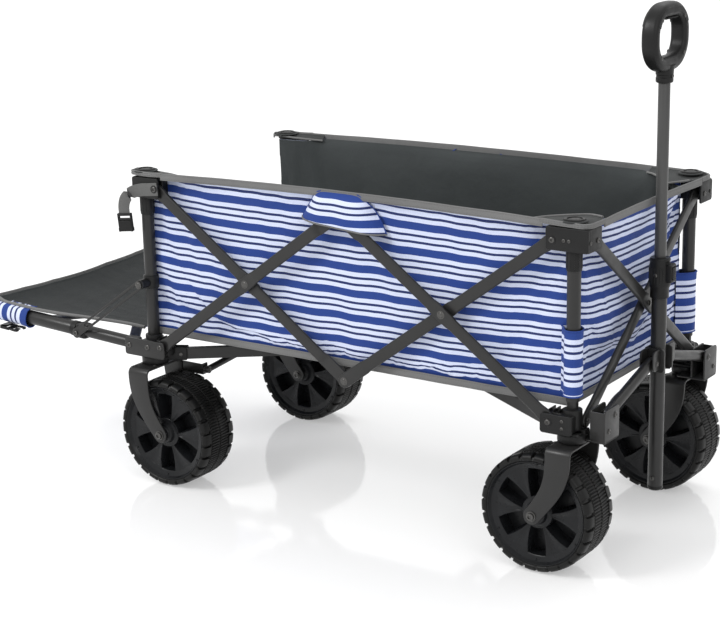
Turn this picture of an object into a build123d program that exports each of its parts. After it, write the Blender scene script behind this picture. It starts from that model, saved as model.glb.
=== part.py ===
"""Folding four-wheel beach cart: steel scissor frame, drop-down rear gate, pull handle, fabric tub.

Axes: +X forward to the pull handle, +Y left, +Z up. Corner codes: rr rear right, fr front right,
rl rear left, fl front left. Every piece is drawn about the cart's centre and then shifted by
SHIFT_X, so that the origin is the middle of the bounding box on the floor.
"""
from build123d import *
from math import acos, asin, atan2, cos, degrees, hypot, radians, sin
import os

os.makedirs("parts", exist_ok=True)

# ---- driving dimensions, mm ----
SHIFT_X = 152.355          # cart centre to bounding-box centre
POST_X, POST_Y = 425.0, 212.0      # corner posts from the cart centre
PIV_X, PIV_Y = 395.0, 197.5        # scissor pivots from the cart centre
Z_LOW, Z_TOP = 252.0, 542.0        # lower and upper scissor pivots
BAR_W, BAR_T, BAR_WALL = 22.0, 8.0, 1.3
LAP = 50.0                         # half-thick length at a bar end that laps its neighbour
IN_LAYER, OUT_LAYER = 9.0, 18.0    # side bar planes outboard of the post axis
F_IN, F_OUT = 16.0, 25.0           # front bar planes ahead of the post axis
PIN_R, HOLE_R = 3.0, 3.1
POST_R, POST_IN_R = 11.0, 9.4      # sliding outer post tube
LEG_R, LEG_IN_R = 9.0, 7.6         # fixed lower post tube
LEG_TOP, POST_BOTTOM, GUIDE_TOP = 505.0, 285.0, 500.0
BLOCK_Z0, BLOCK_Z1 = 236.0, 266.0
WHEEL_R, WHEEL_W = 100.0, 85.0
AXLE_BACK = 45.0                   # caster trail, and rear axle offset
FORK_Y, FORK_T = 47.5, 4.0         # fork arm inner face, plate thickness
FORK_TOP = 218.0
GATE_X, GATE_Y, GATE_TILT = -460.0, 224.5, 3.0
GATE_LEN, SLEEVE_AT = 338.0, 137.0
STAY_D, STAY_PIN = 124.0, (-425.0, 370.0)
TOG_X, TOG_Y, TOG_Z, TOG_R = 469.0, 178.0, 262.0, 9.0   # front folding link
HUB_Y, HUB_Z = 27.0, 304.0
HAN_X, HAN_Z0, HAN_Z1 = 470.0, 80.0, 440.0
GRIP_Z0 = 758.0
SPR_X, SPR_Z, SPR_Y, SPR_RISE = -342.0, 201.0, 158.0, 13.0   # rear folding spreader
SPR_R, SPR_LAYER = 6.0, 6.3        # its tube, and how far each half stands off the joint plane
ARM_X, ARM_Y, ARM_Z, ARM_TILT = 380.0, 190.0, 236.0, 3.0     # floor arms
ARM_W, ARM_H, HUB_R = 12.0, 20.0, 72.0
CLOTH_T = 2.0
TUB_Y, TUB_X, TUB_Z0, TUB_Z1 = 197.5, 412.0, 270.0, 562.0
BAR_L = hypot(PIV_X, Z_TOP - Z_LOW)


def save(piece, name):
    """Shift a finished piece into the shared frame and write it."""
    move = Location((SHIFT_X, 0, 0))
    solids = [solid.moved(move) for solid in piece.solids()]
    piece = solids[0] if len(solids) == 1 else Compound(solids)
    piece.label = name
    export_step(piece, "parts/" + name + ".step")


def box(x0, x1, y0, y1, z0, z1, mode=Mode.ADD):
    """Add a box given by its limits; limits may come in either order."""
    with Locations(((x0 + x1) / 2, (y0 + y1) / 2, (z0 + z1) / 2)):
        Box(abs(x1 - x0), abs(y1 - y0), abs(z1 - z0), mode=mode)


def rod_x(x0, x1, y, z, r, mode=Mode.ADD):
    with Locations(Location(((x0 + x1) / 2, y, z), (0, 90, 0))):
        Cylinder(r, abs(x1 - x0), mode=mode)


def rod_y(x, y0, y1, z, r, mode=Mode.ADD):
    with Locations(Location((x, (y0 + y1) / 2, z), (90, 0, 0))):
        Cylinder(r, abs(y1 - y0), mode=mode)


def rod_z(x, y, z0, z1, r, mode=Mode.ADD):
    with Locations((x, y, (z0 + z1) / 2)):
        Cylinder(r, abs(z1 - z0), mode=mode)


# ---- scissor bars ----
def bar(frame, lap_start=0, lap_end=0, lap_mid=0, pins=()):
    """Hollow flat bar along frame X from pivot to pivot. lap +1/-1 keeps that half of an end.
    pins: (position, reach down, reach up) of separate rivets standing in the bar's holes."""
    with BuildPart(frame) as b:
        with BuildSketch(frame):
            with Locations((BAR_L / 2, 0)):
                SlotCenterToCenter(BAR_L, BAR_W)
        extrude(amount=BAR_T / 2, both=True)
        with BuildSketch(frame):
            with Locations((BAR_L / 2, 0)):
                Rectangle(BAR_L - 2 * LAP - 10, BAR_W - 2 * BAR_WALL)
            with Locations((BAR_L / 2, 0)):
                Circle(9.0, mode=Mode.SUBTRACT)
        extrude(amount=BAR_T / 2 - BAR_WALL, both=True, mode=Mode.SUBTRACT)
        with Locations((0, 0, 0), (BAR_L / 2, 0, 0), (BAR_L, 0, 0)):
            Cylinder(HOLE_R, 3 * BAR_T, mode=Mode.SUBTRACT)
        for at, keep in ((0, lap_start), (BAR_L, lap_end)):
            if keep:
                with Locations((at, 0, -keep * (BAR_T / 2 - 0.1))):
                    Box(2 * LAP, BAR_W + 2, BAR_T, mode=Mode.SUBTRACT)
        for at, down, up in pins:
            with Locations((at, 0, (up - down) / 2)):
                Cylinder(PIN_R, up + down)
            with Locations((at, 0, up + 1)):
                Cylinder(6.0, 2.0)
    return b.part


def side_bar(x0, z0, x1, z1, y, out, **kw):
    """Side bar in a plane y; frame Z points outboard (out = +1 left side, -1 right side)."""
    d = Vector(x1 - x0, 0, z1 - z0)
    return bar(Plane(origin=(x0, y, z0), x_dir=d, z_dir=(0, out, 0)), **kw)


def build_side(s, code):
    """The four bars of one long side. s is -1 for the right side and +1 for the left."""
    y_in, y_out = s * (POST_Y + IN_LAYER), s * (POST_Y + OUT_LAYER)
    mid = (BAR_L / 2, 13.6, BAR_T / 2 + 0.3)
    end = (BAR_L, 4.6, BAR_T / 2 + 0.3)
    a = side_bar(-PIV_X, Z_TOP, 0, Z_LOW, y_in, s, lap_end=-1)
    b = side_bar(-PIV_X, Z_LOW, 0, Z_TOP, y_out, s, lap_end=-1, pins=(mid,))
    c = side_bar(PIV_X, Z_TOP, 0, Z_LOW, y_in, s, lap_end=1, pins=(end,))
    d = side_bar(PIV_X, Z_LOW, 0, Z_TOP, y_out, s, lap_end=1, pins=(mid, end))
    save(a, "side_bar_rear_high_" + code)
    save(b, "side_bar_rear_low_" + code)
    save(c, "side_bar_front_high_" + code)
    save(d, "side_bar_front_low_" + code)


def build_front_bars():
    """The single cross of the front end."""
    low = Plane(origin=(POST_X + F_IN, -PIV_Y, Z_LOW), x_dir=(0, 2 * PIV_Y, Z_TOP - Z_LOW),
                z_dir=(1, 0, 0))
    high = Plane(origin=(POST_X + F_OUT, PIV_Y, Z_LOW), x_dir=(0, -2 * PIV_Y, Z_TOP - Z_LOW),
                 z_dir=(1, 0, 0))
    save(bar(low), "front_bar_inner")
    save(bar(high, pins=((BAR_L / 2, 13.6, BAR_T / 2 + 0.3),)), "front_bar_outer")


# ---- corners ----
def front_pin(y, z, x_bar):
    """Rivet of a front bar: spacer boss up to the bar, then pin and head."""
    if x_bar > F_IN + 1:
        rod_x(POST_X + POST_R, POST_X + x_bar - BAR_T / 2 - 0.3, y, z, 8)
    rod_x(POST_X + 5, POST_X + x_bar + BAR_T / 2 + 0.3, y, z, PIN_R)
    rod_x(POST_X + x_bar + BAR_T / 2 + 0.3, POST_X + x_bar + BAR_T / 2 + 1.9, y, z, 6)


def side_pin(x, y_from, y_to, z):
    rod_y(x, y_from, y_to, z, PIN_R)


def corner(e, s, code):
    """Lower corner: bracket with pivot plates, pins, wheel mount, and the fixed lower post.
    e is -1 at the rear and +1 at the front, s is -1 right and +1 left."""
    y_out = s * (POST_Y + OUT_LAYER + BAR_T / 2 + 2)      # inner face of the outer plate
    px, py = e * POST_X, s * POST_Y
    r_leg = LEG_R if e > 0 else POST_R
    with BuildPart() as b:
        box(e * 383, e * (436 if e > 0 else 440), s * 196, s * 224, BLOCK_Z0, BLOCK_Z1)
        box(e * 410, e * 436, s * 220, y_out, BLOCK_Z0, BLOCK_Z1)
        box(e * 381, e * (436 if e > 0 else 472), y_out, y_out + s * 3, BLOCK_Z0 - 2, BLOCK_Z1)
        side_pin(e * PIV_X, s * 215, y_out + s, Z_LOW)
        rod_z(px, py, BLOCK_Z0 - 17, BLOCK_Z0 + 1, 24)
        box(px - 20, px + 20, py - 20, py + 20, BLOCK_Z0 - 4, BLOCK_Z0 + 1)
        floor_arm_lug(e, s)
        if e > 0:
            front_pin(s * PIV_Y, Z_LOW, F_IN if s < 0 else F_OUT)
            toggle_lug(s)
            rod_z(px, py, BLOCK_Z0 - 20, BLOCK_Z0 - 1, 7.0, Mode.SUBTRACT)
        else:
            side_pin(GATE_X, s * 212, y_out + s, Z_LOW)
        rod_z(px, py, BLOCK_Z0 + 1, BLOCK_Z1 + 5, r_leg + 0.05, Mode.SUBTRACT)
    with BuildPart() as leg:
        rod_z(px, py, BLOCK_Z0 + 1, LEG_TOP if e > 0 else GUIDE_TOP, r_leg)
        rod_z(px, py, BLOCK_Z0 + 1, LEG_TOP, LEG_IN_R if e > 0 else POST_IN_R, Mode.SUBTRACT)
        if e < 0:
            stay_clip(px, py, s)
    save(Compound(children=[b.part, leg.part]), "corner_" + code)


def stay_clip(px, py, s):
    """Collar on the rear post with the pin that the gate stay slides on."""
    rod_z(px, py, STAY_PIN[1] - 12, STAY_PIN[1] + 12, 14)
    rod_z(px, py, STAY_PIN[1] - 13, STAY_PIN[1] + 13, POST_IN_R, Mode.SUBTRACT)
    rod_y(px, s * (POST_Y + 12), s * (POST_Y + 37), STAY_PIN[1], PIN_R - 0.5)
    rod_y(px, s * (POST_Y + 36), s * (POST_Y + 38), STAY_PIN[1], 6)


def toggle_lug(s):
    """Channel that the front folding link pivots in, carried under the front bars."""
    y0, y1 = s * (TOG_Y - 14), s * (TOG_Y + 36)
    box(430, TOG_X + 13, y0, y1, 222, 234)
    box(TOG_X - 13, TOG_X - 10, y0, y1, 222, 276)
    box(TOG_X + 10, TOG_X + 13, y0, y1, 222, 276)
    box(430, 446, s * (TOG_Y + 18), y1, 222, 240)
    if s < 0:
        rod_x(TOG_X - 12, TOG_X + 12, s * TOG_Y, TOG_Z, PIN_R)


def arm_dir(e, s):
    """Direction from a corner to the middle of the floor, in plan."""
    d = hypot(ARM_X, ARM_Y)
    return Vector(-e * ARM_X / d, -s * ARM_Y / d, 0)


def floor_arm_lug(e, s):
    """Two cheeks and a pin for a floor arm, in line with the arm."""
    d = arm_dir(e, s)
    frame = Plane(origin=(e * ARM_X, s * ARM_Y, ARM_Z), x_dir=d, z_dir=(0, 0, 1))
    side = ARM_W / 2 + 0.6
    with Locations(frame.location * Location((4, 0, 17))):
        Box(34, 2 * side, 60, mode=Mode.SUBTRACT)
    for k in (-1, 1):
        with Locations(frame.location * Location((-6, k * (side + 1.5), 1))):
            Box(36, 3, 24)
    with Locations(frame.location * Location((-20, 0, 6))):
        Box(14, 2 * side + 4, 14)
    with Locations(frame.location * Location((0, 0, 0), (90, 0, 0))):
        Cylinder(PIN_R, 2 * side + 4)


def top_corner(e, s, code):
    """Upper corner bracket: cap, skirt, side and front ears with the bar pins."""
    px, py = e * POST_X, s * POST_Y
    y_bar = s * (POST_Y + IN_LAYER)
    with BuildPart() as b:
        box(e * 384, e * (436 if e > 0 else 442), s * 199.3, s * 215.5, 526, 564)
        box(e * 409, e * (436 if e > 0 else 442), s * 212, s * 226, 526, 564)
        box(e * 384, e * (436 if e > 0 else 442), y_bar + s * 5, y_bar + s * 8, 526, 564)
        side_pin(e * PIV_X, s * 210, y_bar + s * 6, Z_TOP)
        rod_z(px, py, 502, 530, 13)
        rod_z(px, py, 563, 570, 17)
        if e > 0:
            front_pin(s * PIV_Y, Z_TOP, F_OUT if s < 0 else F_IN)
            box(430, 436, s * 184, s * 200, 530, 562)
        rod_z(px, py, 500, 545, (POST_R if e > 0 else LEG_R) + 0.05, Mode.SUBTRACT)
    save(b.part, "top_bracket_" + code)
    with BuildPart() as tube:
        rod_z(px, py, POST_BOTTOM, 545, POST_R if e > 0 else LEG_R)
        rod_z(px, py, POST_BOTTOM, 545, POST_IN_R if e > 0 else LEG_IN_R, Mode.SUBTRACT)
    save(tube.part, "post_tube_" + code)


# ---- wheels ----
def fork(e, s, code):
    """Bent steel fork with swept arms and the wheel bolt."""
    px, py, ax = e * POST_X, s * POST_Y, e * (POST_X - AXLE_BACK)
    with BuildPart() as b:
        box(px - 22, px + 22, py - FORK_Y - FORK_T, py + FORK_Y + FORK_T, FORK_TOP - 4, FORK_TOP)
        with BuildSketch(Plane(origin=(0, py - FORK_Y - FORK_T, 0), x_dir=(1, 0, 0),
                               z_dir=(0, -1, 0))):
            with BuildLine():
                Polyline((px - 22, FORK_TOP), (px + 22, FORK_TOP), (px + 21 - 10 * (e > 0), 175),
                         (ax + 14, 100), (ax - 14, 100), (px - 21 + 10 * (e < 0), 175), close=True)
            make_face()
            with Locations((ax, 100)):
                Circle(14)
        extrude(amount=-(2 * FORK_Y + 2 * FORK_T))
        box(px - 90, px + 90, py - FORK_Y, py + FORK_Y, 60, FORK_TOP - 4, Mode.SUBTRACT)
        rod_y(ax, py - FORK_Y - 9, py + FORK_Y + 9, 100, 6)
        rod_y(ax, py - FORK_Y - 10, py - FORK_Y - 3, 100, 10)
        rod_y(ax, py + FORK_Y + 3, py + FORK_Y + 10, 100, 10)
        if e > 0:
            rod_z(px, py, FORK_TOP - 1, FORK_TOP + 16, 6.9)
        else:
            spreader_lug(py, s)
    save(b.part, ("caster_fork_" if e > 0 else "fork_") + code)


def spreader_lug(py, s):
    """Ear on the inner arm of a rear fork for the folding spreader."""
    y1 = py - s * (FORK_Y + FORK_T)
    box(-432, SPR_X - 13.5, y1 + s * 2, y1, SPR_Z - 10, SPR_Z + 10)
    box(SPR_X - 17, SPR_X - 13.5, y1 + s * 2, y1 - s * 13, SPR_Z - 10, SPR_Z + 10)
    if s < 0:
        rod_x(SPR_X - 15, SPR_X + 1, s * SPR_Y, SPR_Z, PIN_R - 0.5)


def wheel(e, s, code):
    """Moulded rim and a separate tyre."""
    ax, py = e * (POST_X - AXLE_BACK), s * POST_Y
    frame = Plane(origin=(ax, py, 100), x_dir=(1, 0, 0), z_dir=(0, 1, 0))
    with BuildPart(frame) as rim:
        Cylinder(72.9, 66)
        Cylinder(20, WHEEL_W + 6)
        Cylinder(6.08, WHEEL_W + 20, mode=Mode.SUBTRACT)
    with BuildPart(frame) as tyre:
        Cylinder(WHEEL_R, WHEEL_W)
        fillet(tyre.edges(), 9)
        Cylinder(73, WHEEL_W + 2, mode=Mode.SUBTRACT)
    save(Compound(children=[rim.part, tyre.part]), "wheel_" + code)


# ---- rear gate ----
def gate_frame(s, z=0.0):
    """Frame on the gate's hinge line: X outwards along the gate, Y left, Z up when open."""
    t = radians(GATE_TILT)
    return Plane(origin=(GATE_X, 0, Z_LOW), x_dir=(-cos(t), 0, sin(t)), z_dir=(sin(t), 0, cos(t)))


def gate_rod(x0, x1, y, r, mode=Mode.ADD):
    with Locations(Location(((x0 + x1) / 2, y, 0), (0, 90, 0))):
        Cylinder(r, abs(x1 - x0), mode=mode)


def gate_side(s, code):
    """Gate tube with its inner corner fitting, the sliding end sleeve, and the slotted stay.
    Frame Y points right, so the sign of y is turned."""
    y = -s * GATE_Y
    py = -s * PIV_Y
    with BuildPart(gate_frame(s)) as tube:
        gate_rod(-2, GATE_LEN, y, POST_R)
        gate_rod(14, GATE_LEN + 2, y, POST_IN_R, Mode.SUBTRACT)
        with Locations((0, y, 0)):
            Box(22, 21, 22)
        with Locations(Location((0, y, 0), (90, 0, 0))):
            Cylinder(11, 21)
        with Locations((-8, y, 9), (-8, y, -9)):
            Box(7, 26, 7, mode=Mode.SUBTRACT)
        with Locations((30, (y + py) / 2, -7)):
            Box(26, abs(y - py) + 22, 11)
        with Locations((30, py, -20 if s < 0 else -16)):
            Cylinder(PIN_R, 18)
        with Locations(Location((0, y, 0), (90, 0, 0))):
            Cylinder(HOLE_R, 40, mode=Mode.SUBTRACT)
    save(tube.part, "gate_tube_" + code)
    with BuildPart(gate_frame(s)) as sleeve:
        gate_rod(SLEEVE_AT, GATE_LEN + 6, y, 13.0)
        gate_rod(SLEEVE_AT - 1, GATE_LEN + 3, y, POST_R + 0.3, Mode.SUBTRACT)
        with Locations((320, (y + py) / 2 + (6 if s < 0 else -6) * -1, -8.0)):
            Box(26, abs(y - py) + 14, 9)
        with Locations((320, y, 0)):
            Box(24, 27, 24)
        gate_rod(SLEEVE_AT - 1, GATE_LEN + 3, y, POST_R + 0.3, Mode.SUBTRACT)
        with Locations((320, py, -20)):
            Cylinder(PIN_R, 18)
    save(sleeve.part, "gate_sleeve_" + code)


def gate_bars():
    """Cross of two bars on the gate's outer face."""
    f = gate_frame(1)
    dx = Z_TOP - Z_LOW
    for name, y0, depth, pins in (("gate_bar_upper", PIV_Y, -17.5, ()),
                                  ("gate_bar_lower", -PIV_Y, -26.5,
                                   ((BAR_L / 2, 13.6, BAR_T / 2 + 0.3),))):
        o = f.from_local_coords(Vector(30, y0, depth))
        d = f.from_local_coords(Vector(30 + dx, -y0, depth)) - o
        save(bar(Plane(origin=o, x_dir=d, z_dir=-f.z_dir), pins=pins), name)


def stay(s, code):
    """Flat slotted stay from the gate's clamp to the pin on the post."""
    f = gate_frame(s)
    c = f.from_local_coords(Vector(STAY_D, 0, 0))
    dx, dz = STAY_PIN[0] - c.X, STAY_PIN[1] - c.Z
    y = s * (POST_Y + 33)
    with BuildPart(Plane(origin=(c.X, y, c.Z), x_dir=(dx, 0, dz), z_dir=(0, -1, 0))) as b:
        with Locations((101, 0)):
            Box(202, 16, 3)
        with BuildSketch(Plane(origin=(c.X, y, c.Z), x_dir=(dx, 0, dz), z_dir=(0, -1, 0))):
            with Locations((113, 0)):
                SlotOverall(172, 7.4)
        extrude(amount=5, both=True, mode=Mode.SUBTRACT)
        with Locations((0, 0, 0)):
            Cylinder(10, 3)
            Cylinder(HOLE_R, 9, mode=Mode.SUBTRACT)
    save(b.part, "gate_stay_" + code)


# ---- front link and handle ----
def tog_frame(s):
    return Plane(origin=(TOG_X, s * TOG_Y, TOG_Z),
                 x_dir=(0, -s * (TOG_Y - HUB_Y), HUB_Z - TOG_Z), z_dir=(1, 0, 0))


def toggle(s, name):
    """Round link tube from a front corner to the handle hub."""
    length = hypot(TOG_Y - HUB_Y, HUB_Z - TOG_Z)
    with BuildPart(tog_frame(s)) as b:
        gate_rod(8, length - 8, 0, TOG_R)
        gate_rod(14, length - 14, 0, TOG_R - 1.5, Mode.SUBTRACT)
        with Locations((0, 0, 0), (length, 0, 0)):
            Cylinder(9, 12)
        with Locations((8, 0, 0), (length - 8, 0, 0)):
            Box(14, 17, 12)
        with Locations((0, 0, 0), (length, 0, 0)):
            Cylinder(HOLE_R, 30, mode=Mode.SUBTRACT)
    save(b.part, name)


def handle_hub():
    """Saddle that joins both link tubes and carries the pull handle's pivot."""
    with BuildPart() as b:
        for k in (-1, 1):
            box(456.6, 489, k * 13.2, k * 17.4, 286, 326)
            box(456.6, 459.6, k * 13.2, k * 40, 292, 326)
            box(478.4, 481.4, k * 13.2, k * 40, 292, 326)
            rod_x(458, 480, k * HUB_Y, HUB_Z, PIN_R)
            rod_y(HAN_X, k * 11.4, k * 17.4, HUB_Z, 4)
        box(454.4, 457.0, -17.4, 17.4, 312, 326)
        box(454.4, 459.6, 13.2, 17.4, 312, 326)
        box(454.4, 459.6, -17.4, -13.2, 312, 326)
    save(b.part, "handle_hub")


def handle():
    """Outer tube, lock collar, sliding inner tube, grip and release button."""
    with BuildPart() as outer:
        rod_z(HAN_X, 0, HAN_Z0, HAN_Z1, 12.5)
        rod_z(HAN_X, 0, HAN_Z0 + 4, HAN_Z1 + 1, 11.0, Mode.SUBTRACT)
        rod_y(HAN_X, -15, 15, HUB_Z, 4.1, Mode.SUBTRACT)
    save(outer.part, "handle_outer_tube")
    with BuildPart() as collar:
        rod_z(HAN_X, 0, 428, 474, 17)
        box(HAN_X + 4, HAN_X + 24, -10, 10, 436, 466)
        rod_z(HAN_X, 0, 427, 440.1, 12.55, Mode.SUBTRACT)
        rod_z(HAN_X, 0, 427, 475, 9.7, Mode.SUBTRACT)
        box(HAN_X + 18, HAN_X + 26, -7, 7, 441, 461, Mode.SUBTRACT)
    save(collar.part, "lock_collar")
    with BuildPart() as inner:
        rod_z(HAN_X, 0, 394, 772, 9.5)
        rod_z(HAN_X, 0, 393, 773, 8.1, Mode.SUBTRACT)
        rod_z(HAN_X, 0, 386, 396, 10.8)
    save(inner.part, "handle_inner_tube")
    with BuildPart() as button:
        box(HAN_X + 20, HAN_X + 25.5, -6.5, 6.5, 441.5, 460.5)
        fillet(button.edges().filter_by(Axis.X), 3)
    save(button.part, "lock_button")
    with BuildPart() as grip:
        with BuildSketch(Plane(origin=(HAN_X, 0, 825), x_dir=(0, 1, 0), z_dir=(1, 0, 0))):
            RectangleRounded(112, 112, 42)
            RectangleRounded(60, 60, 18, mode=Mode.SUBTRACT)
        extrude(amount=14, both=True)
        fillet(grip.edges().filter_by(Plane.YZ), 8)
        rod_z(HAN_X, 0, GRIP_Z0, 784, 14)
        rod_z(HAN_X, 0, GRIP_Z0 - 1, 774, 9.55, Mode.SUBTRACT)
    save(grip.part, "grip")


# ---- rear spreader ----
def spreader(s, name):
    """One half of the folding spreader between the rear forks; the halves lie side by side."""
    length = hypot(SPR_Y, SPR_RISE)
    f = Plane(origin=(SPR_X + s * SPR_LAYER, s * SPR_Y, SPR_Z), x_dir=(0, -s * SPR_Y, SPR_RISE),
              z_dir=(1, 0, 0))
    with BuildPart(f) as b:
        gate_rod(4, length - 20, 0, SPR_R)
        gate_rod(14, length - 34, 0, SPR_R - 1.4, Mode.SUBTRACT)
        with Locations((0, 0, 0)):
            Cylinder(6.5, 11)
        with Locations((length - 14, 0, 0)):
            Box(30, 17, 11.6)
        with Locations((length, 0, 0)):
            Cylinder(8.5, 11.6)
        with Locations((0, 0, 0), (length, 0, 0)):
            Cylinder(HOLE_R, 40, mode=Mode.SUBTRACT)
        if s < 0:
            with Locations((length, 0, SPR_LAYER)):
                Cylinder(PIN_R, 26)
    save(b.part, name)


# ---- floor ----
def arm_length():
    return (hypot(ARM_X, ARM_Y) - HUB_R) / cos(radians(ARM_TILT))


def floor_arm(e, s, code):
    """Square-ended tube from a corner to the floor hub."""
    d = arm_dir(e, s)
    t = radians(ARM_TILT)
    f = Plane(origin=(e * ARM_X, s * ARM_Y, ARM_Z), x_dir=(d.X * cos(t), d.Y * cos(t), sin(t)),
              z_dir=(-d.Y, d.X, 0))
    n = arm_length()
    with BuildPart(f) as b:
        with BuildSketch(f):
            with Locations((n / 2, 0)):
                SlotCenterToCenter(n, ARM_H)
        extrude(amount=ARM_W / 2, both=True)
        with BuildSketch(f):
            with Locations((n / 2, 0)):
                Rectangle(n - 24, ARM_H - 2.8)
        extrude(amount=ARM_W / 2 - 1.4, both=True, mode=Mode.SUBTRACT)
        with Locations((0, 0, 0), (n, 0, 0)):
            Cylinder(HOLE_R, 30, mode=Mode.SUBTRACT)
    save(b.part, "floor_arm_" + code)


def floor_hub():
    """Plate over the four arm ends, with the cheeks of the arm that carries it."""
    z = ARM_Z + arm_length() * sin(radians(ARM_TILT))
    with BuildPart() as b:
        with Locations((0, 0, z + 13)):
            Box(190, 116, 4)
        d = arm_dir(-1, -1)
        f = Plane(origin=(-d.X * HUB_R, -d.Y * HUB_R, z), x_dir=d, z_dir=(0, 0, 1))
        for k in (-1, 1):
            with Locations(f.location * Location((0, k * (ARM_W / 2 + 1.5), 2.5))):
                Box(18, 2, 21)
        with Locations(f.location * Location((0, 0, 0), (90, 0, 0))):
            Cylinder(PIN_R, ARM_W + 4)
        rod_x(-90, 90, 0, TUB_Z0 + 2, 1.5)
        box(-90, 90, -0.7, 0.7, TUB_Z0 - 2, TUB_Z0 + 2)
    save(b.part, "floor_hub")


# ---- fabric tub ----
def fabric():
    """Plain closed panels; seams, stripes and folds belong to the finished look."""
    for s, side in ((-1, "right"), (1, "left")):
        with BuildPart() as wall:
            box(-430, 408, s * (TUB_Y - CLOTH_T), s * TUB_Y, TUB_Z0 + 4, TUB_Z1)
        save(wall.part, "tub_wall_" + side)
        with BuildPart() as floor_half:
            box(-430, 408, s * 2.0, s * (TUB_Y - 3), TUB_Z0 + 1, TUB_Z0 + 3)
        save(floor_half.part, "tub_floor_" + side)
    with BuildPart() as front:
        box(TUB_X - CLOTH_T, TUB_X, -TUB_Y, TUB_Y, TUB_Z0 + 4, TUB_Z1)
    save(front.part, "tub_wall_front")
    with BuildPart(gate_frame(1)) as panel:
        with Locations((26 + 310 / 2, 0, 14.5)):
            Box(310, 2 * GATE_Y, CLOTH_T)
    save(panel.part, "gate_panel")


CORNERS = ((-1, -1, "rr"), (1, -1, "fr"), (-1, 1, "rl"), (1, 1, "fl"))
for end, side, tag in CORNERS:
    corner(end, side, tag)
    top_corner(end, side, tag)
    fork(end, side, tag)
    wheel(end, side, tag)
    floor_arm(end, side, tag)
build_side(-1, "right")
build_side(1, "left")
build_front_bars()
gate_bars()
for side, tag in ((-1, "right"), (1, "left")):
    gate_side(side, tag)
    stay(side, tag)
    toggle(side, "front_link_" + tag)
    spreader(side, "rear_spreader_" + tag)
handle_hub()
handle()
floor_hub()
fabric()
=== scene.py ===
"""Looks of the folding beach cart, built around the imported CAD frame.

Everything is drawn in millimetres about the cart's centre, X forward, Y left, Z up. A finished
piece is turned into the frame's metres. Corner codes: rr, fr, rl, fl, as in the CAD nodes.
"""
import bpy
import bmesh
from math import cos, hypot, pi, radians, sin, sqrt
from mathutils import Matrix, Vector, noise


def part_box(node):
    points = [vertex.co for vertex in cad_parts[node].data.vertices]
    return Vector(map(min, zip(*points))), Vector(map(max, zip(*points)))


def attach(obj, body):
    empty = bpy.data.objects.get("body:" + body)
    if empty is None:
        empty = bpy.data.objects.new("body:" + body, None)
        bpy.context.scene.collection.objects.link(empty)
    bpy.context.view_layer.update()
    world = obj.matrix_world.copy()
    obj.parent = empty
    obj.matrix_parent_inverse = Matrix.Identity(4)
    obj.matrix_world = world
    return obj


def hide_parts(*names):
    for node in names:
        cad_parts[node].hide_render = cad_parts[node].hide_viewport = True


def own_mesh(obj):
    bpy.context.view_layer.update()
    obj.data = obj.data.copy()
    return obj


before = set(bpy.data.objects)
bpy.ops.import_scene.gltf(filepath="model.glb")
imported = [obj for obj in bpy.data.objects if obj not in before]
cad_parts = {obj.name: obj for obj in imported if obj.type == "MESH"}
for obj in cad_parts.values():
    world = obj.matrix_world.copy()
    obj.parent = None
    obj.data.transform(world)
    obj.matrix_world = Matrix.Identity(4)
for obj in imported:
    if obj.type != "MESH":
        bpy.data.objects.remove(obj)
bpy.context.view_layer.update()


def node_middle(node):
    low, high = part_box(node)
    return (low + high) * 500.0


# ---- driving dimensions, mm, as the CAD frame has them ----
SHIFT_X = (node_middle("post_tube_rr").x + node_middle("post_tube_fr").x) / 2
POST_X = node_middle("post_tube_fr").x - SHIFT_X
POST_Y = node_middle("post_tube_fl").y
PIV_X, PIV_Y = POST_X - 30.0, POST_Y - 14.5        # end pivots of the side and front bars
Z_LOW, Z_TOP = 252.0, 542.0                         # their two levels
BAR_L, BAR_T = hypot(PIV_X, Z_TOP - Z_LOW), 8.0
IN_LAYER, OUT_LAYER = 9.0, 18.0                     # side bars, outwards of the posts
F_IN, F_OUT = 16.0, 25.0                            # front bars, forward of the posts
POST_R, LEG_R = 11.0, 9.0
BLOCK_Z0, BLOCK_Z1 = 236.0, 266.0                   # lower corner block
BRACKET_Z0, BRACKET_Z1 = 526.0, 563.0               # upper corner bracket
AXLE_Z, AXLE_BACK = 100.0, 45.0
FORK_Y, FORK_T, FORK_TOP = 47.5, 4.0, 218.0
GATE_X, GATE_Y, GATE_TILT, GATE_LEN, SLEEVE_AT = -460.0, 224.5, 3.0, 338.0, 137.0
STAY_D, STAY_Z = 124.0, 370.0                       # stay's clamp on the gate, its pin on the post
TOG_X, TOG_Y, TOG_Z = 469.0, 178.0, 262.0           # outer pivots of the front link
HUB_Y, HUB_Z = 27.0, 304.0                          # its inner pivots, on the saddle
HAN_X = node_middle("handle_outer_tube").x - SHIFT_X
COLLAR_Z, BUTTON_Z, NECK_Z, GRIP_Z = 428.0, 451.0, 757.0, 829.0
SPR_X, SPR_Z, SPR_Y, SPR_RISE, SPR_LAYER = -342.0, 201.0, 158.0, 13.0, 6.3
LAP = 50.0                                          # length of a lapped bar end
FLOOR_Z = 273.4                                     # top of the cloth floor
CORNERS = ((-1, -1, "rr"), (1, -1, "fr"), (-1, 1, "rl"), (1, 1, "fl"))
SIDES = ((-1, "right"), (1, "left"))
TO_ROW = Matrix.Scale(0.001, 4) @ Matrix.Translation((SHIFT_X, 0, 0))
X, Y, Z = Vector((1, 0, 0)), Vector((0, 1, 0)), Vector((0, 0, 1))


def in_row(point):
    """A point of the drawing in the frame's metres."""
    return TO_ROW @ Vector(point)


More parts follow.
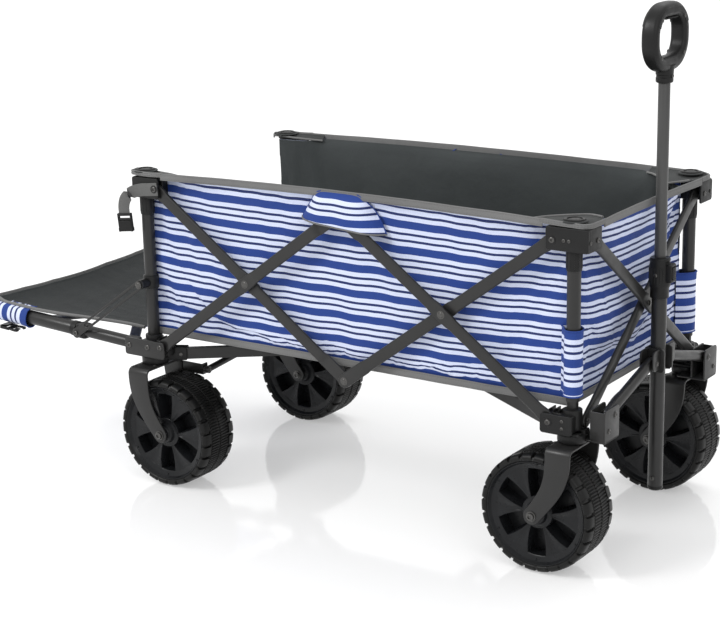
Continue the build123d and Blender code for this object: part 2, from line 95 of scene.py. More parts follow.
# ---- materials ----
class Graph:
    """A material's node graph, with its Principled shader as bsdf."""

    def __init__(self, name, colour, rough, metallic=0.0, **sockets):
        self.mat = bpy.data.materials.new(name)
        self.mat.use_nodes = True
        self.tree = self.mat.node_tree
        self.bsdf = self.tree.nodes["Principled BSDF"]
        self.mat.diffuse_color = (*colour, 1)
        self.bsdf.inputs["Base Color"].default_value = (*colour, 1)
        self.bsdf.inputs["Roughness"].default_value = rough
        self.bsdf.inputs["Metallic"].default_value = metallic
        for key, value in sockets.items():
            self.bsdf.inputs[key.replace("_", " ")].default_value = value
        self.object_place = self.add("ShaderNodeTexCoord").outputs["Object"]

    def add(self, kind, links=None, **settings):
        """A new node; links maps its inputs to sockets or plain values."""
        node = self.tree.nodes.new(kind)
        for key, value in settings.items():
            setattr(node, key, value)
        for key, value in (links or {}).items():
            if isinstance(value, bpy.types.NodeSocket):
                self.tree.links.new(value, node.inputs[key])
            else:
                node.inputs[key].default_value = value
        return node

    def into(self, socket, key):
        self.tree.links.new(socket, self.bsdf.inputs[key])

    def clouds(self, scale, detail=3.0, place=None):
        links = {"Vector": place or self.object_place, "Scale": scale, "Detail": detail}
        return self.add("ShaderNodeTexNoise", links).outputs["Fac"]

    def span(self, value, low, high, from_low=0.3, from_high=0.7):
        links = {"Value": value, "From Min": from_low, "From Max": from_high, "To Min": low,
                 "To Max": high}
        return self.add("ShaderNodeMapRange", links).outputs["Result"]

    def tint(self, colour, factor):
        """Colour made lighter or darker by a factor socket."""
        node = self.add("ShaderNodeMix", data_type="RGBA", blend_type="MULTIPLY")
        node.inputs["Factor"].default_value = 1.0
        self._plug(colour, node.inputs[6])
        self._plug(factor, node.inputs[7])
        return node.outputs[2]

    def _plug(self, value, socket):
        if isinstance(value, bpy.types.NodeSocket):
            self.tree.links.new(value, socket)
        else:
            socket.default_value = value if isinstance(value, float) else (*value, 1)

    def bump(self, height, strength, distance, under=None):
        links = {"Height": height, "Strength": strength, "Distance": distance}
        if under:
            links["Normal"] = under
        return self.add("ShaderNodeBump", links).outputs["Normal"]


def painted_steel(name, colour):
    """Dark grey satin powder coat with a fine orange peel."""
    g = Graph(name, colour, 0.36, 0.15, Specular_IOR_Level=0.36, Coat_Weight=0.1, Coat_Roughness=0.2)
    g.into(g.tint(colour, g.span(g.clouds(9.0), 0.9, 1.1)), "Base Color")
    g.into(g.span(g.clouds(60.0), 0.31, 0.43), "Roughness")
    g.into(g.bump(g.clouds(1400.0, 2.0), 0.12, 0.0002), "Normal")
    return g.mat


def moulded_plastic(name, colour, rough, grain):
    """Moulded plastic with spark-eroded grain and rubbed lighter patches."""
    g = Graph(name, colour, rough, Specular_IOR_Level=0.22)
    g.into(g.tint(colour, g.span(g.clouds(25.0, 5.0), 0.8, 1.25)), "Base Color")
    g.into(g.span(g.clouds(80.0), rough - 0.06, rough + 0.08), "Roughness")
    g.into(g.bump(g.clouds(grain, 2.0), 0.22, 0.0002), "Normal")
    return g.mat


def dark_metal():
    """Black zinc of screws, rivets and bolts."""
    colour = (0.09, 0.088, 0.085)
    g = Graph("dark_metal", colour, 0.3, 0.9)
    g.into(g.span(g.clouds(300.0), 0.22, 0.42), "Roughness")
    return g.mat


def weave(g, threads):
    """Height of a plain weave from the cloth's own measure in millimetres."""
    place = g.add("ShaderNodeUVMap", uv_map="cloth_mm").outputs["UV"]
    bands = []
    for direction in "XY":
        wave = g.add("ShaderNodeTexWave", {"Vector": place, "Scale": threads},
                     bands_direction=direction)
        bands.append(wave.outputs["Fac"])
    height = g.add("ShaderNodeMath", {0: bands[0], 1: bands[1]}, operation="MULTIPLY")
    return place, height.outputs[0]


def wrinkles(g):
    """Shallow creases and puckers, too fine for the mesh."""
    broad = g.bump(g.clouds(16.0, 4.0), 0.55, 0.006)
    return g.bump(g.clouds(70.0, 3.0), 0.3, 0.0012, broad)


def cloth(name, colour, rough=0.8, threads=0.35, depth=0.5, sheen=0.04):
    """Plain woven polyester; its colour varies a little along the threads and in broad stains."""
    g = Graph(name, colour, rough, Sheen_Weight=sheen, Specular_IOR_Level=0.25)
    place, height = weave(g, threads)
    slub = g.clouds(0.6, 4.0, place)
    mottle = g.tint(colour, g.span(slub, 0.9, 1.1))
    g.into(g.tint(mottle, g.span(g.clouds(7.0, 4.0), 0.88, 1.1)), "Base Color")
    g.into(g.bump(height, depth, 0.0003, wrinkles(g)), "Normal")
    return g.mat


STRIPE_REPEAT = 45.0
STRIPES = ((0.0, "blue"), (13.8, "white"), (21.2, "navy"), (25.6, "white"), (33.0, "navy"),
           (37.4, "white"))
STRIPE_COLOURS = {"blue": (0.0142, 0.0435, 0.215), "white": (0.58, 0.63, 0.80),
                  "navy": (0.013, 0.024, 0.105)}


def striped_cloth():
    """Woven stripes across the cloth, over a repeat of STRIPE_REPEAT mm."""
    g = Graph("striped_cloth", STRIPE_COLOURS["blue"], 0.8, Sheen_Weight=0.04, Specular_IOR_Level=0.3)
    place, height = weave(g, 0.35)
    across = g.add("ShaderNodeSeparateXYZ", {0: place}).outputs["Y"]
    turns = g.add("ShaderNodeMath", {0: across, 1: STRIPE_REPEAT}, operation="DIVIDE").outputs[0]
    part = g.add("ShaderNodeMath", {0: turns}, operation="FRACT").outputs[0]
    ramp = g.add("ShaderNodeValToRGB", {"Fac": part})
    ramp.color_ramp.interpolation = "CONSTANT"
    stops = ramp.color_ramp.elements
    while len(stops) < len(STRIPES):
        stops.new(1.0)
    for stop, (start, colour) in zip(stops, STRIPES):
        stop.position = start / STRIPE_REPEAT
        stop.color = (*STRIPE_COLOURS[colour], 1)
    slub = g.clouds(0.5, 4.0, place)
    g.into(g.tint(ramp.outputs["Color"], g.span(slub, 0.93, 1.07)), "Base Color")
    g.into(g.bump(height, 0.4, 0.0003, wrinkles(g)), "Normal")
    return g.mat


STEEL = painted_steel("painted_steel", (0.0165, 0.0163, 0.0160))
# A lighter copy of the steel paint, used for the upper handle tube.
LIGHTER_STEEL = painted_steel("handle_tube_lighter_grey", (0.052, 0.052, 0.0515))
PLASTIC = moulded_plastic("black_plastic", (0.009, 0.009, 0.009), 0.40, 1800.0)
RIM = moulded_plastic("wheel_plastic", (0.008, 0.0085, 0.0095), 0.30, 1500.0)
TYRE = moulded_plastic("tyre_compound", (0.004, 0.004, 0.0038), 0.38, 900.0)
SOFT = moulded_plastic("grip_compound", (0.010, 0.010, 0.010), 0.52, 2200.0)
METAL = dark_metal()
STRIPE = striped_cloth()
GREY = cloth("grey_cloth", (0.037, 0.042, 0.043))
# Darker copy of the grey cloth for the gate's upward face: painted shade that offsets the strong light from
# above.
GATE_SHADED_GREY = cloth("gate_grey_painted_shade", (0.0175, 0.0200, 0.0206), sheen=0.015)
MESH = cloth("coarse_mesh", (0.026, 0.028, 0.028), 0.8, 0.16, 1.0)
TAPE = cloth("binding_tape", (0.155, 0.155, 0.154), 0.8, 0.3, 0.8)
WEBBING = cloth("webbing", (0.105, 0.105, 0.103), 0.75, 0.2, 1.0)
THREAD = cloth("stitching", (0.11, 0.11, 0.11), 0.7, 0.9, 0.6)


# ---- outlines and pieces ----
def smooth(t):
    t = min(max(t, 0.0), 1.0)
    return t * t * (3 - 2 * t)


def steps(start, end, count):
    return [start + (end - start) * i / (count - 1) for i in range(count)]


def circle(r, n=24):
    return [(r * cos(2 * pi * i / n), r * sin(2 * pi * i / n)) for i in range(n)]


def soft_box(half_u, half_v, r, arc=4):
    """Rounded rectangle about the origin."""
    r = max(min(r, half_u, half_v), 0.02)
    points = []
    for k, (su, sv) in enumerate(((1, 1), (-1, 1), (-1, -1), (1, -1))):
        for i in range(arc + 1):
            a = pi / 2 * (k + i / arc)
            points.append((su * (half_u - r) + r * cos(a), sv * (half_v - r) + r * sin(a)))
    return points


def turned(origin, x_dir, z_dir):
    """Placement with its own X and Z directions."""
    x_dir, z_dir = Vector(x_dir).normalized(), Vector(z_dir).normalized()
    place = Matrix((x_dir, z_dir.cross(x_dir), z_dir)).transposed().to_4x4()
    place.translation = origin
    return place


class Piece:
    """One visible piece, gathered from closed shapes and finished by done()."""

    def __init__(self, name, body, nodes=(), slot="grey_steel", place=Matrix.Identity(4)):
        self.name, self.body, self.nodes, self.slot, self.place = name, body, nodes, slot, place
        self.bm = bmesh.new()
        self.uv = self.bm.loops.layers.uv.new("cloth_mm")
        self.materials = []

    def _faces(self, corners, mat, measures=None):
        if mat not in self.materials:
            self.materials.append(mat)
        face = self.bm.faces.new(corners)
        face.material_index = self.materials.index(mat)
        if measures:
            for loop, uv in zip(face.loops, measures):
                loop[self.uv].uv = uv
        return face

    def loft(self, rings, mat, caps=True, loop=False, lengths=False):
        """Skin over closed rings of points; lengths lays the cloth measure along the rings."""
        rows = [[self.bm.verts.new(self.place @ Vector(p)) for p in ring] for ring in rings]
        pairs = list(zip(rows, rows[1:])) + ([(rows[-1], rows[0])] if loop else [])
        along = 0.0
        n = len(rows[0])
        for a, b in pairs:
            step = (b[0].co - a[0].co).length if lengths else 0.0
            around = 0.0
            for i in range(n):
                j = (i + 1) % n
                wide = (a[j].co - a[i].co).length if lengths else 0.0
                uv = ((along, around), (along, around + wide), (along + step, around + wide),
                      (along + step, around)) if lengths else None
                self._faces((a[i], a[j], b[j], b[i]), mat, uv)
                around += wide
            along += step
        if caps and not loop:
            self._faces(rows[0][::-1], mat)
            self._faces(rows[-1], mat)

    def lathe(self, origin, axis, profile, mat, n=28, ring=False):
        """Turned shape; profile holds (radius, distance along the axis) pairs."""
        axis = Vector(axis).normalized()
        u = axis.orthogonal().normalized()
        v = axis.cross(u)
        origin = Vector(origin)
        rows = [[origin + axis * t + u * a + v * b for a, b in circle(max(r, 0.05), n)]
                for r, t in profile]
        self.loft(rows, mat, loop=ring)

    def rod(self, start, end, r, mat, edge=0.8, n=28, hollow=0.0):
        """Round bar with broken edges, or a tube when hollow is its bore radius."""
        start, end = Vector(start), Vector(end)
        length = (end - start).length
        profile = [(r - edge, 0), (r - edge * 0.3, edge * 0.3), (r, edge), (r, length - edge),
                   (r - edge * 0.3, length - edge * 0.3), (r - edge, length)]
        if hollow:
            profile += [(hollow, length), (hollow, 0)]
        self.lathe(start, end - start, profile, mat, n, ring=bool(hollow))

    def plate(self, half_u, half_v, corner, z0, z1, mat, edge=1.2, place=Matrix.Identity(4)):
        """Rounded rectangle raised from z0 to z1 along place's own Z, with rounded edges."""
        turns = steps(0.0, pi / 2, 4)
        levels = [(edge * (1 - sin(a)), z0 + edge * (1 - cos(a))) for a in turns]
        levels += [(edge * (1 - cos(a)), z1 - edge * (1 - sin(a))) for a in turns]
        self.loft([[place @ Vector((x, y, z)) for x, y in soft_box(half_u - d, half_v - d, corner - d)]
                   for d, z in levels], mat)

    def box(self, x0, x1, y0, y1, z0, z1, mat, edge=1.2, corner=None):
        """Block with rounded edges; limits come in either order."""
        hx, hy = abs(x1 - x0) / 2, abs(y1 - y0) / 2
        edge = min(edge, abs(z1 - z0) / 2.2, hx * 0.9, hy * 0.9)
        place = Matrix.Translation(((x0 + x1) / 2, (y0 + y1) / 2, 0))
        self.plate(hx, hy, edge if corner is None else corner, min(z0, z1), max(z0, z1), mat, edge, place)

    def ribbon(self, stations, mat, corner=1.0, arc=3, lengths=False):
        """Strip through stations (centre, width direction, thickness direction, half width,
        half thickness)."""
        rings = []
        for centre, wide, thick, hw, ht in stations:
            centre, wide, thick = Vector(centre), Vector(wide), Vector(thick)
            rings.append([centre + wide * a + thick * b
                          for a, b in soft_box(hw, ht, min(corner, ht * 0.98, hw * 0.98), arc)])
        self.loft(rings, mat, lengths=lengths)

    def screw(self, at, axis, r, mat, height=2.2):
        """Pan-head screw with a cross recess."""
        axis = Vector(axis).normalized()
        u = axis.orthogonal().normalized()
        v = axis.cross(u)
        rows = []
        dome = ((1.0, 0.0), (0.97, 0.5), (0.8, 0.85), (0.52, 1.0), (0.5, 1.0), (0.16, 1.02))
        for share, rise in dome:
            row = []
            for i, (a, b) in enumerate(circle(share * r, 24)):
                sunk = 0.75 if share < 0.51 and min(i % 6, 6 - i % 6) < 1 + (share < 0.2) else 0.0
                row.append(Vector(at) + u * a + v * b + axis * height * (rise - sunk))
            rows.append(row)
        self.loft(rows, mat)

    def rivet(self, at, axis, r, mat, height=2.0):
        """Domed head on a thin washer."""
        profile = [(r * 1.35, 0), (r * 1.35, 0.5), (r * 1.02, 0.6), (r, 0.8)]
        profile += [(r * cos(a), 0.8 + (height - 0.8) * sin(a)) for a in (0.5, 0.9, 1.25, 1.5)]
        self.lathe(at, axis, profile, mat, 24)

    def sweep(self, points, outline, mat, up=Z, lengths=False, size=None):
        """Outline carried along an open path; size(t) scales it."""
        points = [Vector(p) for p in points]
        rings = []
        for i, here in enumerate(points):
            along = (points[min(i + 1, len(points) - 1)] - points[max(i - 1, 0)]).normalized()
            side = along.cross(up).normalized()
            over = side.cross(along)
            k = size(i / (len(points) - 1)) if size else 1.0
            rings.append([here + side * a * k + over * b * k for a, b in outline])
        self.loft(rings, mat, lengths=lengths)

    def sheet(self, grid, measures, thick, outer, inner):
        """Cloth of real thickness on a grid of points; grid rows run along the first index.
        The outer face lies on the grid, and the inner one is thick mm behind it."""
        rows, cols = len(grid), len(grid[0])
        outside, inside = {}, {}
        for i in range(rows):
            for j in range(cols):
                a = grid[min(i + 1, rows - 1)][j] - grid[max(i - 1, 0)][j]
                b = grid[i][min(j + 1, cols - 1)] - grid[i][max(j - 1, 0)]
                behind = grid[i][j] - a.cross(b).normalized() * thick
                outside[i, j] = self.bm.verts.new(self.place @ grid[i][j])
                inside[i, j] = self.bm.verts.new(self.place @ behind)
        for i in range(rows - 1):
            for j in range(cols - 1):
                keys = ((i, j), (i + 1, j), (i + 1, j + 1), (i, j + 1))
                uv = [measures[a][b] for a, b in keys]
                self._faces([outside[key] for key in keys], outer, uv)
                self._faces([inside[key] for key in keys[::-1]], inner, uv[::-1])
        rim = [(i, 0) for i in range(rows)] + [(rows - 1, j) for j in range(1, cols)]
        rim += [(i, cols - 1) for i in range(rows - 2, -1, -1)] + [(0, j) for j in range(cols - 2, 0, -1)]
        for a, b in zip(rim, rim[1:] + rim[:1]):
            uv = [measures[b[0]][b[1]], measures[a[0]][a[1]]]
            self._faces((outside[b], outside[a], inside[a], inside[b]), outer, uv + uv[::-1])

    def done(self, sharp=34.0):
        """The finished object, riding on its body."""
        bmesh.ops.recalc_face_normals(self.bm, faces=self.bm.faces)
        self.bm.transform(TO_ROW)
        mesh = bpy.data.meshes.new(self.name)
        self.bm.to_mesh(mesh)
        self.bm.free()
        for mat in self.materials:
            mesh.materials.append(mat)
        mesh.shade_smooth()
        mesh.set_sharp_from_angle(angle=radians(sharp))
        obj = bpy.data.objects.new(self.name, mesh)
        bpy.context.scene.collection.objects.link(obj)
        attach(obj, self.body)
        if self.nodes:
            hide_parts(*self.nodes)
        return obj


# ---- scissor bars ----
PRESSED = 15.0            # half length of a pressed flat at a crossing or an end


def bar_profile(x, lap_start, lap_end):
    """Half width, half thickness, offset and pressing of a bar at distance x from its first pivot."""
    lap = 0.0
    for at, keep in ((0.0, lap_start), (BAR_L, lap_end)):
        if keep:
            lap = keep * (1 - smooth((abs(x - at) - LAP) / 8.0))
    to_flat = min(abs(x), abs(x - BAR_L / 2), abs(x - BAR_L))
    pressed = max(1 - smooth((to_flat - PRESSED) / 12.0), abs(lap))
    return 10.6 + 1.2 * pressed, 3.9 - 1.1 * pressed - 0.9 * abs(lap), 2.0 * lap, pressed


def flat_bar(name, start, end, outward, lap_start=0, lap_end=0, heads=()):
    """Flat-oval steel tube pressed flat where it is riveted. heads: (position, side) of rivets."""
    start, end = Vector(start), Vector(end)
    p = Piece(name + "_tube", name, (name,), place=turned(start, end - start, outward))
    stations = [-12.0 * cos(a) for a in (0.12, 0.45, 0.8, 1.2)]
    inner = [0.0, 8.0, 15.0, 19.0, 23.0, 27.0, 40.0, 48.0, 51.0, 54.0, 58.0, 64.0]
    middle = BAR_L / 2
    stations += inner + [middle - x for x in inner[::-1]] + [middle + x for x in inner[1:]]
    stations += [BAR_L - x for x in inner[::-1]] + [BAR_L + 12.0 * cos(a) for a in (1.2, 0.8, 0.45, 0.12)]
    rings = []
    for x in stations:
        hw, ht, shift, pressed = bar_profile(x, lap_start, lap_end)
        past = max(-x, x - BAR_L, 0.0)
        hw = min(hw, sqrt(max(12.0 ** 2 - past ** 2, 1.0)))
        r = ht * (0.98 - 0.45 * pressed)
        rings.append([(x, a, b + shift) for a, b in soft_box(hw, ht, min(r, hw * 0.98), 5)])
    p.loft(rings, STEEL)
    for at, side in heads:
        hw, ht, shift, pressed = bar_profile(at, lap_start, lap_end)
        p.rivet((at, 0, shift + side * (ht - 0.2)), (0, 0, side), 5.2, METAL, 2.6)
    return p.done()


def scissor_side(s, code):
    """Both crosses of one long side."""
    y_in, y_out = s * (POST_Y + IN_LAYER), s * (POST_Y + OUT_LAYER)
    out = (0, s, 0)
    mid = BAR_L / 2
    for e, end in ((-1, "rear"), (1, "front")):
        lap = 1 if e > 0 else -1
        flat_bar(f"side_bar_{end}_high_{code}", (e * PIV_X, y_in, Z_TOP), (0, y_in, Z_LOW), out,
                 lap_end=lap, heads=((mid, -1),) + (((BAR_L, 1),) if e > 0 else ()))
        flat_bar(f"side_bar_{end}_low_{code}", (e * PIV_X, y_out, Z_LOW), (0, y_out, Z_TOP), out,
                 lap_end=lap, heads=((mid, 1),) + (((BAR_L, 1),) if e > 0 else ()))


def front_cross():
    for name, s, x in (("front_bar_inner", 1, F_IN), ("front_bar_outer", -1, F_OUT)):
        flat_bar(name, (POST_X + x, -s * PIV_Y, Z_LOW), (POST_X + x, s * PIV_Y, Z_TOP), X,
                 heads=((BAR_L / 2, 1 if x == F_OUT else -1),))


# ---- corners ----
def plastic_ribs(p, x0, x1, count, y0, y1, z0, z1):
    """Row of thin stiffening ribs."""
    for i in range(count):
        x = x0 + (x1 - x0) * i / (count - 1)
        p.box(x - 1.1, x + 1.1, y0, y1, z0, z1, PLASTIC, 0.6)


def lower_corner(e, s, code):
    """Lower corner: plastic block, outer plate, post socket, bearing, link channel, fixed post."""
    p = Piece("lower_corner_" + code, "base_" + code, ("corner_" + code,), "black_plastic")
    px, py = e * POST_X, s * POST_Y
    y_out = s * (POST_Y + OUT_LAYER + BAR_T / 2 + 2)
    z0, z1 = BLOCK_Z0, BLOCK_Z1
    p.box(e * 400, e * 436, s * 197, s * 223.5, z0, z1 - 2, PLASTIC, 2.5)
    p.box(e * 384, e * 402, s * 206, s * 223.5, z0, z1 - 2, PLASTIC, 2.0)
    p.box(e * 411, e * 436, s * 220, y_out, z0 + 1, z1 - 1, PLASTIC, 2.0)
    plastic_ribs(p, e * 388, e * 432, 6, s * 199, s * 222, z1 - 4, z1 + 2)
    p.rod((px, py, z0 + 2), (px, py, z1 + 6), 15.5, PLASTIC, 1.5, 32)
    plate = STEEL if e < 0 else PLASTIC
    far = 472 if e < 0 else 437
    mid_x, half_x, high = e * (381 + far) / 2, (far - 381) / 2, (z1 - z0 + 2) / 2
    place = turned((mid_x, y_out + s * 1.5, z0 - 2 + high), X * s, (0, s, 0))
    p.plate(half_x, high, 5, -1.6, 1.9, plate, 1.0,
            place @ Matrix.Rotation(pi, 4, "Z"))
    face = y_out + s * 3.2
    if e < 0:
        for x, z in ((-390, 256), (-419, 253), (-462, 252)):
            p.screw((x, face, z), (0, s, 0), 5.0, METAL)
            p.rod((x, face - s, z), (x, face + s * 0.6, z), 6.6, STEEL, 0.4)
    else:
        p.screw((PIV_X, face, Z_LOW), (0, s, 0), 4.8, METAL)
        for z in (245.0, 257.0):
            p.screw((420, face, z), (0, s, 0), 3.0, METAL, 1.6)
        p.rod((PIV_X, face - s, Z_LOW), (PIV_X, face + s * 0.7, Z_LOW), 7.5, PLASTIC, 0.5)
    p.rod((px, py, z0 - 17), (px, py, z0 - 3), 24, PLASTIC, 2.0, 40)
    p.rod((px, py, z0 - 6), (px, py, z0 + 1), 20.5, PLASTIC, 1.5, 40)
    p.box(px - 20, px + 20, py - 20, py + 20, z0 - 4, z0 + 1, PLASTIC, 1.5, 5)
    r_leg, top = (LEG_R, 505) if e > 0 else (POST_R, 500)
    p.rod((px, py, z0 + 1), (px, py, top), r_leg, STEEL, 0.6, 36, hollow=r_leg - 1.5)
    arm_cheeks(p, e, s)
    if e > 0:
        link_channel(p, s)
    else:
        stay_collar(p, px, py, s)
        p.rod((GATE_X, s * 212, Z_LOW), (GATE_X, face + s * 0.5, Z_LOW), 3.0, METAL)
    p.done()


def arm_cheeks(p, e, s):
    """Plastic fork that the floor arm pivots in."""
    p.place = turned((e * 380.0, s * 190.0, 236.0), (-e * 380.0, -s * 190.0, 0), Z)
    for k in (-1, 1):
        p.box(-24, 11, k * 6.6, k * 9.6, -11, 13, PLASTIC, 1.0, 4)
    p.box(-27, -13, -8.6, 8.6, -1, 13, PLASTIC, 1.0)
    p.rod((0, -10.4, 0), (0, 10.4, 0), 3.4, METAL)
    p.place = Matrix.Identity(4)


def link_channel(p, s):
    """Bent steel channel that carries the front folding link."""
    y0, y1 = s * (TOG_Y - 14), s * (TOG_Y + 36)
    p.box(430, TOG_X + 13, y0, y1, 222, 225.5, STEEL, 1.2, 3)
    for x in (TOG_X - 11.5, TOG_X + 11.5):
        place = turned((x, (y0 + y1) / 2, 249), Y, X)
        p.plate(25, 27, 6, -1.5, 1.5, STEEL, 0.8, place)
    p.box(TOG_X - 11.5, TOG_X + 11.5, y1, y1 - s * 2.5, 224, 273, STEEL, 1.0)
    p.box(430, 447, s * (TOG_Y + 18), y1, 222, 240, PLASTIC, 1.5)
    p.screw((TOG_X + 13, s * TOG_Y, TOG_Z), X, 4.6, METAL)
    p.screw((TOG_X + 13, s * (TOG_Y + 22), 240), X, 4.2, METAL)
    p.rod((TOG_X + 12, s * TOG_Y, TOG_Z), (TOG_X + 13.4, s * TOG_Y, TOG_Z), 7.0, STEEL, 0.4)
    p.rod((TOG_X - 12, s * TOG_Y, TOG_Z), (TOG_X + 12, s * TOG_Y, TOG_Z), 3.0, METAL)
    y_bar, x_bar = s * PIV_Y, POST_X + (F_IN if s < 0 else F_OUT)
    p.rod((434, y_bar, Z_LOW), (x_bar + 5, y_bar, Z_LOW), 3.0, METAL)
    if s > 0:
        p.rod((434, y_bar, Z_LOW), (x_bar - 4.3, y_bar, Z_LOW), 8.0, PLASTIC, 1.0)


def stay_collar(p, px, py, s):
    """Clamp on the rear post with the pin that the gate stay slides on."""
    p.rod((px, py, STAY_Z - 12), (px, py, STAY_Z + 12), 14, PLASTIC, 1.5, 36)
    p.rod((px, py + s * 10, STAY_Z), (px, py + s * 30.5, STAY_Z), 8.5, PLASTIC, 1.2)
    p.rod((px, py + s * 30, STAY_Z), (px, py + s * 37, STAY_Z), 2.5, METAL, 0.4)
    p.rivet((px, py + s * 36.2, STAY_Z), (0, s, 0), 5.2, METAL, 2.6)


def upper_corner(e, s, code):
    """Upper corner bracket with its screwed ears, ribbed skirt and cap."""
    p = Piece("upper_bracket_" + code, "top_" + code, ("top_bracket_" + code,), "black_plastic")
    px, py = e * POST_X, s * POST_Y
    z0, z1 = BRACKET_Z0, BRACKET_Z1
    front = 457.5 if e > 0 else 443.0
    p.box(e * 385, e * 436, s * 199.5, s * 215.5, z0 + 2, z1, PLASTIC, 2.0)
    p.box(e * 410, e * front, s * 213, s * 229.5, z0, z1, PLASTIC, 2.5, 9)
    place = turned((e * (384 + front) / 2, s * 227.8, (z0 + z1) / 2), X, Y)
    half = (front - 384) / 2
    p.plate(half, (z1 - z0) / 2, 4, -1.9, 1.9, PLASTIC, 1.2, place)
    if e > 0:
        place = turned((front - 1.9, s * 206.5, (z0 + z1) / 2), Y, X)
        p.plate(23, (z1 - z0) / 2, 4, -1.7, 1.7, PLASTIC, 1.2, place)
        p.box(430, 437, s * 185, s * 216, z0 + 2, z1, PLASTIC, 2.0)
        p.box(430, front - 1, s * 183.5, s * 215, z1 - 5, z1 - 1, PLASTIC, 1.2)
        p.screw((front, s * PIV_Y, 542), X, 4.4, METAL)
        p.screw((front, s * 222, 542), X, 3.2, METAL, 1.6)
    p.box(e * 385, e * (front - 3), s * 214, s * 228, z1 - 4, z1, PLASTIC, 1.2)
    p.screw((e * PIV_X, s * 229.6, Z_TOP), (0, s, 0), 4.8, METAL)
    p.rod((e * PIV_X, s * 229, Z_TOP), (e * PIV_X, s * 230.3, Z_TOP), 7.0, PLASTIC, 0.4)
    for dx in (-4.5, 4.5):
        p.screw((e * 420 + dx, s * 229.6, Z_TOP + 1), (0, s, 0), 2.9, METAL, 1.6)
    p.rod((px, py, 494), (px, py, z0 + 3), 12.4, PLASTIC, 1.0, 40)
    for a in range(12):
        x, y = px + 12.3 * cos(pi * a / 6), py + 12.3 * sin(pi * a / 6)
        p.rod((x, y, 498), (x, y, z0), 0.7, PLASTIC, 0.3, 8)
    cap = [(16.5, 0), (16.8, 8.0), (16.2, 11.0), (14.6, 12.0), (12.6, 11.6), (11.6, 9.6)]
    cap += [(11.6 * cos(a), 9.0 + 2.4 * sin(a)) for a in (0.3, 0.7, 1.05, 1.35)]
    p.lathe((px, py, 564), Z, cap, PLASTIC, 40)
    p.done()


# ---- wheels and forks ----
LUGS, LUG_STEPS = 26, 18


def tread_point(step, y, r):
    """Moves a point of the plain tyre section into a lug, a rib or the gap beside it."""
    side = abs(y)
    if r > 90 and side > 25:
        phase = ((step + (4 if y > 0 else 0)) % LUG_STEPS) / LUG_STEPS
        gap = phase > 0.74
        depth = 4.0 if gap else 0.0
        return y * (1 - (0.03 if gap and r < 97 else 0.0)), r - depth * min((r - 90) / 5.0, 1.0)
    if r > 84 and 2.5 < side < 23:
        return y, r - (1.9 if (step // 2) % 2 else 0.0)
    if r > 84 and side <= 2.5:
        return y, r - 1.9
    return y, r


def tyre(p):
    """Hard tyre: chunky shoulder lugs and a finely ribbed tread."""
    half = [(2.0, 98.4), (2.6, 99.0), (22.5, 98.7), (23.2, 96.4), (25.2, 96.4), (26.0, 98.9), (33.0, 98.5),
            (38.8, 97.4), (41.6, 95.0), (42.6, 91.5), (42.2, 89.0), (40.6, 87.6), (39.5, 86.8), (37.5, 86.2)]
    section = [(-y, r) for y, r in half[::-1]] + half + [(35.0, 85.2), (-35.0, 85.2)]
    rings = []
    for i in range(LUGS * LUG_STEPS):
        a = 2 * pi * i / (LUGS * LUG_STEPS)
        ring = [tread_point(i, y, r) for y, r in section]
        rings.append([(r * cos(a), r * sin(a), y) for y, r in ring])
    p.loft(rings, TYRE, loop=True)


SPOKES, SPOKE_EDGE, SPOKE_FACE = 6, 1.035, 31.2
WINDOW_IN, WINDOW_OUT = 27.0, 73.0


def rim_face(k):
    """One moulded face of the rim: six wedge spokes between deep windows, with a raised flange."""
    radii = [(7.5, 41.5), (12.0, 41.5), (13.0, 40.0), (17.0, 38.5), (19.5, 33.0), (WINDOW_IN - 2.5, 31.5),
             (WINDOW_IN - 0.6, 31.8)]
    radii += [(r, 0) for r in (WINDOW_IN, WINDOW_IN + 0.8, 42.0, 58.0, WINDOW_OUT - 0.8, WINDOW_OUT)]
    radii += [(WINDOW_OUT + 0.8, 32.0), (76.0, 32.6), (78.5, 33.6), (82.0, 34.6), (84.0, 37.6), (85.4, 40.0),
              (86.6, 40.4), (87.4, 39.0), (87.6, 35.0)]
    shares = (0.0, 0.45, 0.62, 0.88, 0.965, 1.0, SPOKE_EDGE, 1.2, 1.6, 2.0)
    angles = []
    for spoke in range(SPOKES):
        angles += [(spoke, share, 1) for share in shares[:-1]]
        angles += [(spoke + 1, share, -1) for share in shares[:0:-1]]
    rings = []
    for r, face in radii:
        outwards = (min(max(r, WINDOW_IN), WINDOW_OUT) - WINDOW_IN) / (WINDOW_OUT - WINDOW_IN)
        half_spoke = radians(6.5 + 11.0 * outwards)
        row = []
        for spoke, share, way in angles:
            part = half_spoke * min(share, SPOKE_EDGE)
            part += (pi / SPOKES - half_spoke * SPOKE_EDGE) * max(share - SPOKE_EDGE, 0) / (2 - SPOKE_EDGE)
            a = spoke * 2 * pi / SPOKES + way * part
            top = face
            if WINDOW_IN <= r <= WINDOW_OUT:
                top = SPOKE_FACE + (0.9 if 0.6 < share < 0.97 else 0.0)
            if share > 1.0 and WINDOW_IN < r < WINDOW_OUT:
                top = 10.0 if share < 1.1 else 6.0
            row.append((r * cos(a), r * sin(a), k * top))
        rings.append(row)
    return rings


def wheel(e, s, code):
    """Tyre and moulded rim, each its own piece."""
    place = turned((e * (POST_X - AXLE_BACK), s * POST_Y, AXLE_Z), X, -Y)
    p = Piece(f"wheel_{code}_tyre", "wheel_" + code, (), "wheel_plastic", place)
    tyre(p)
    p.done(40)
    p = Piece(f"wheel_{code}_rim", "wheel_" + code, ("wheel_" + code,), "wheel_plastic", place)
    p.loft(rim_face(1) + rim_face(-1)[::-1], RIM, loop=True)
    for k in (-1, 1):
        for i in range(SPOKES):
            a = pi / 3 * (i + 0.5)
            x, y = 79.6 * cos(a), 79.6 * sin(a)
            p.rod((x, y, k * 32), (x, y, k * 35.0), 2.0, RIM, 0.4, 12)
        p.rod((0, 0, k * 38), (0, 0, k * 45.8), 11.5, RIM, 1.5, 32)
    p.done(30)


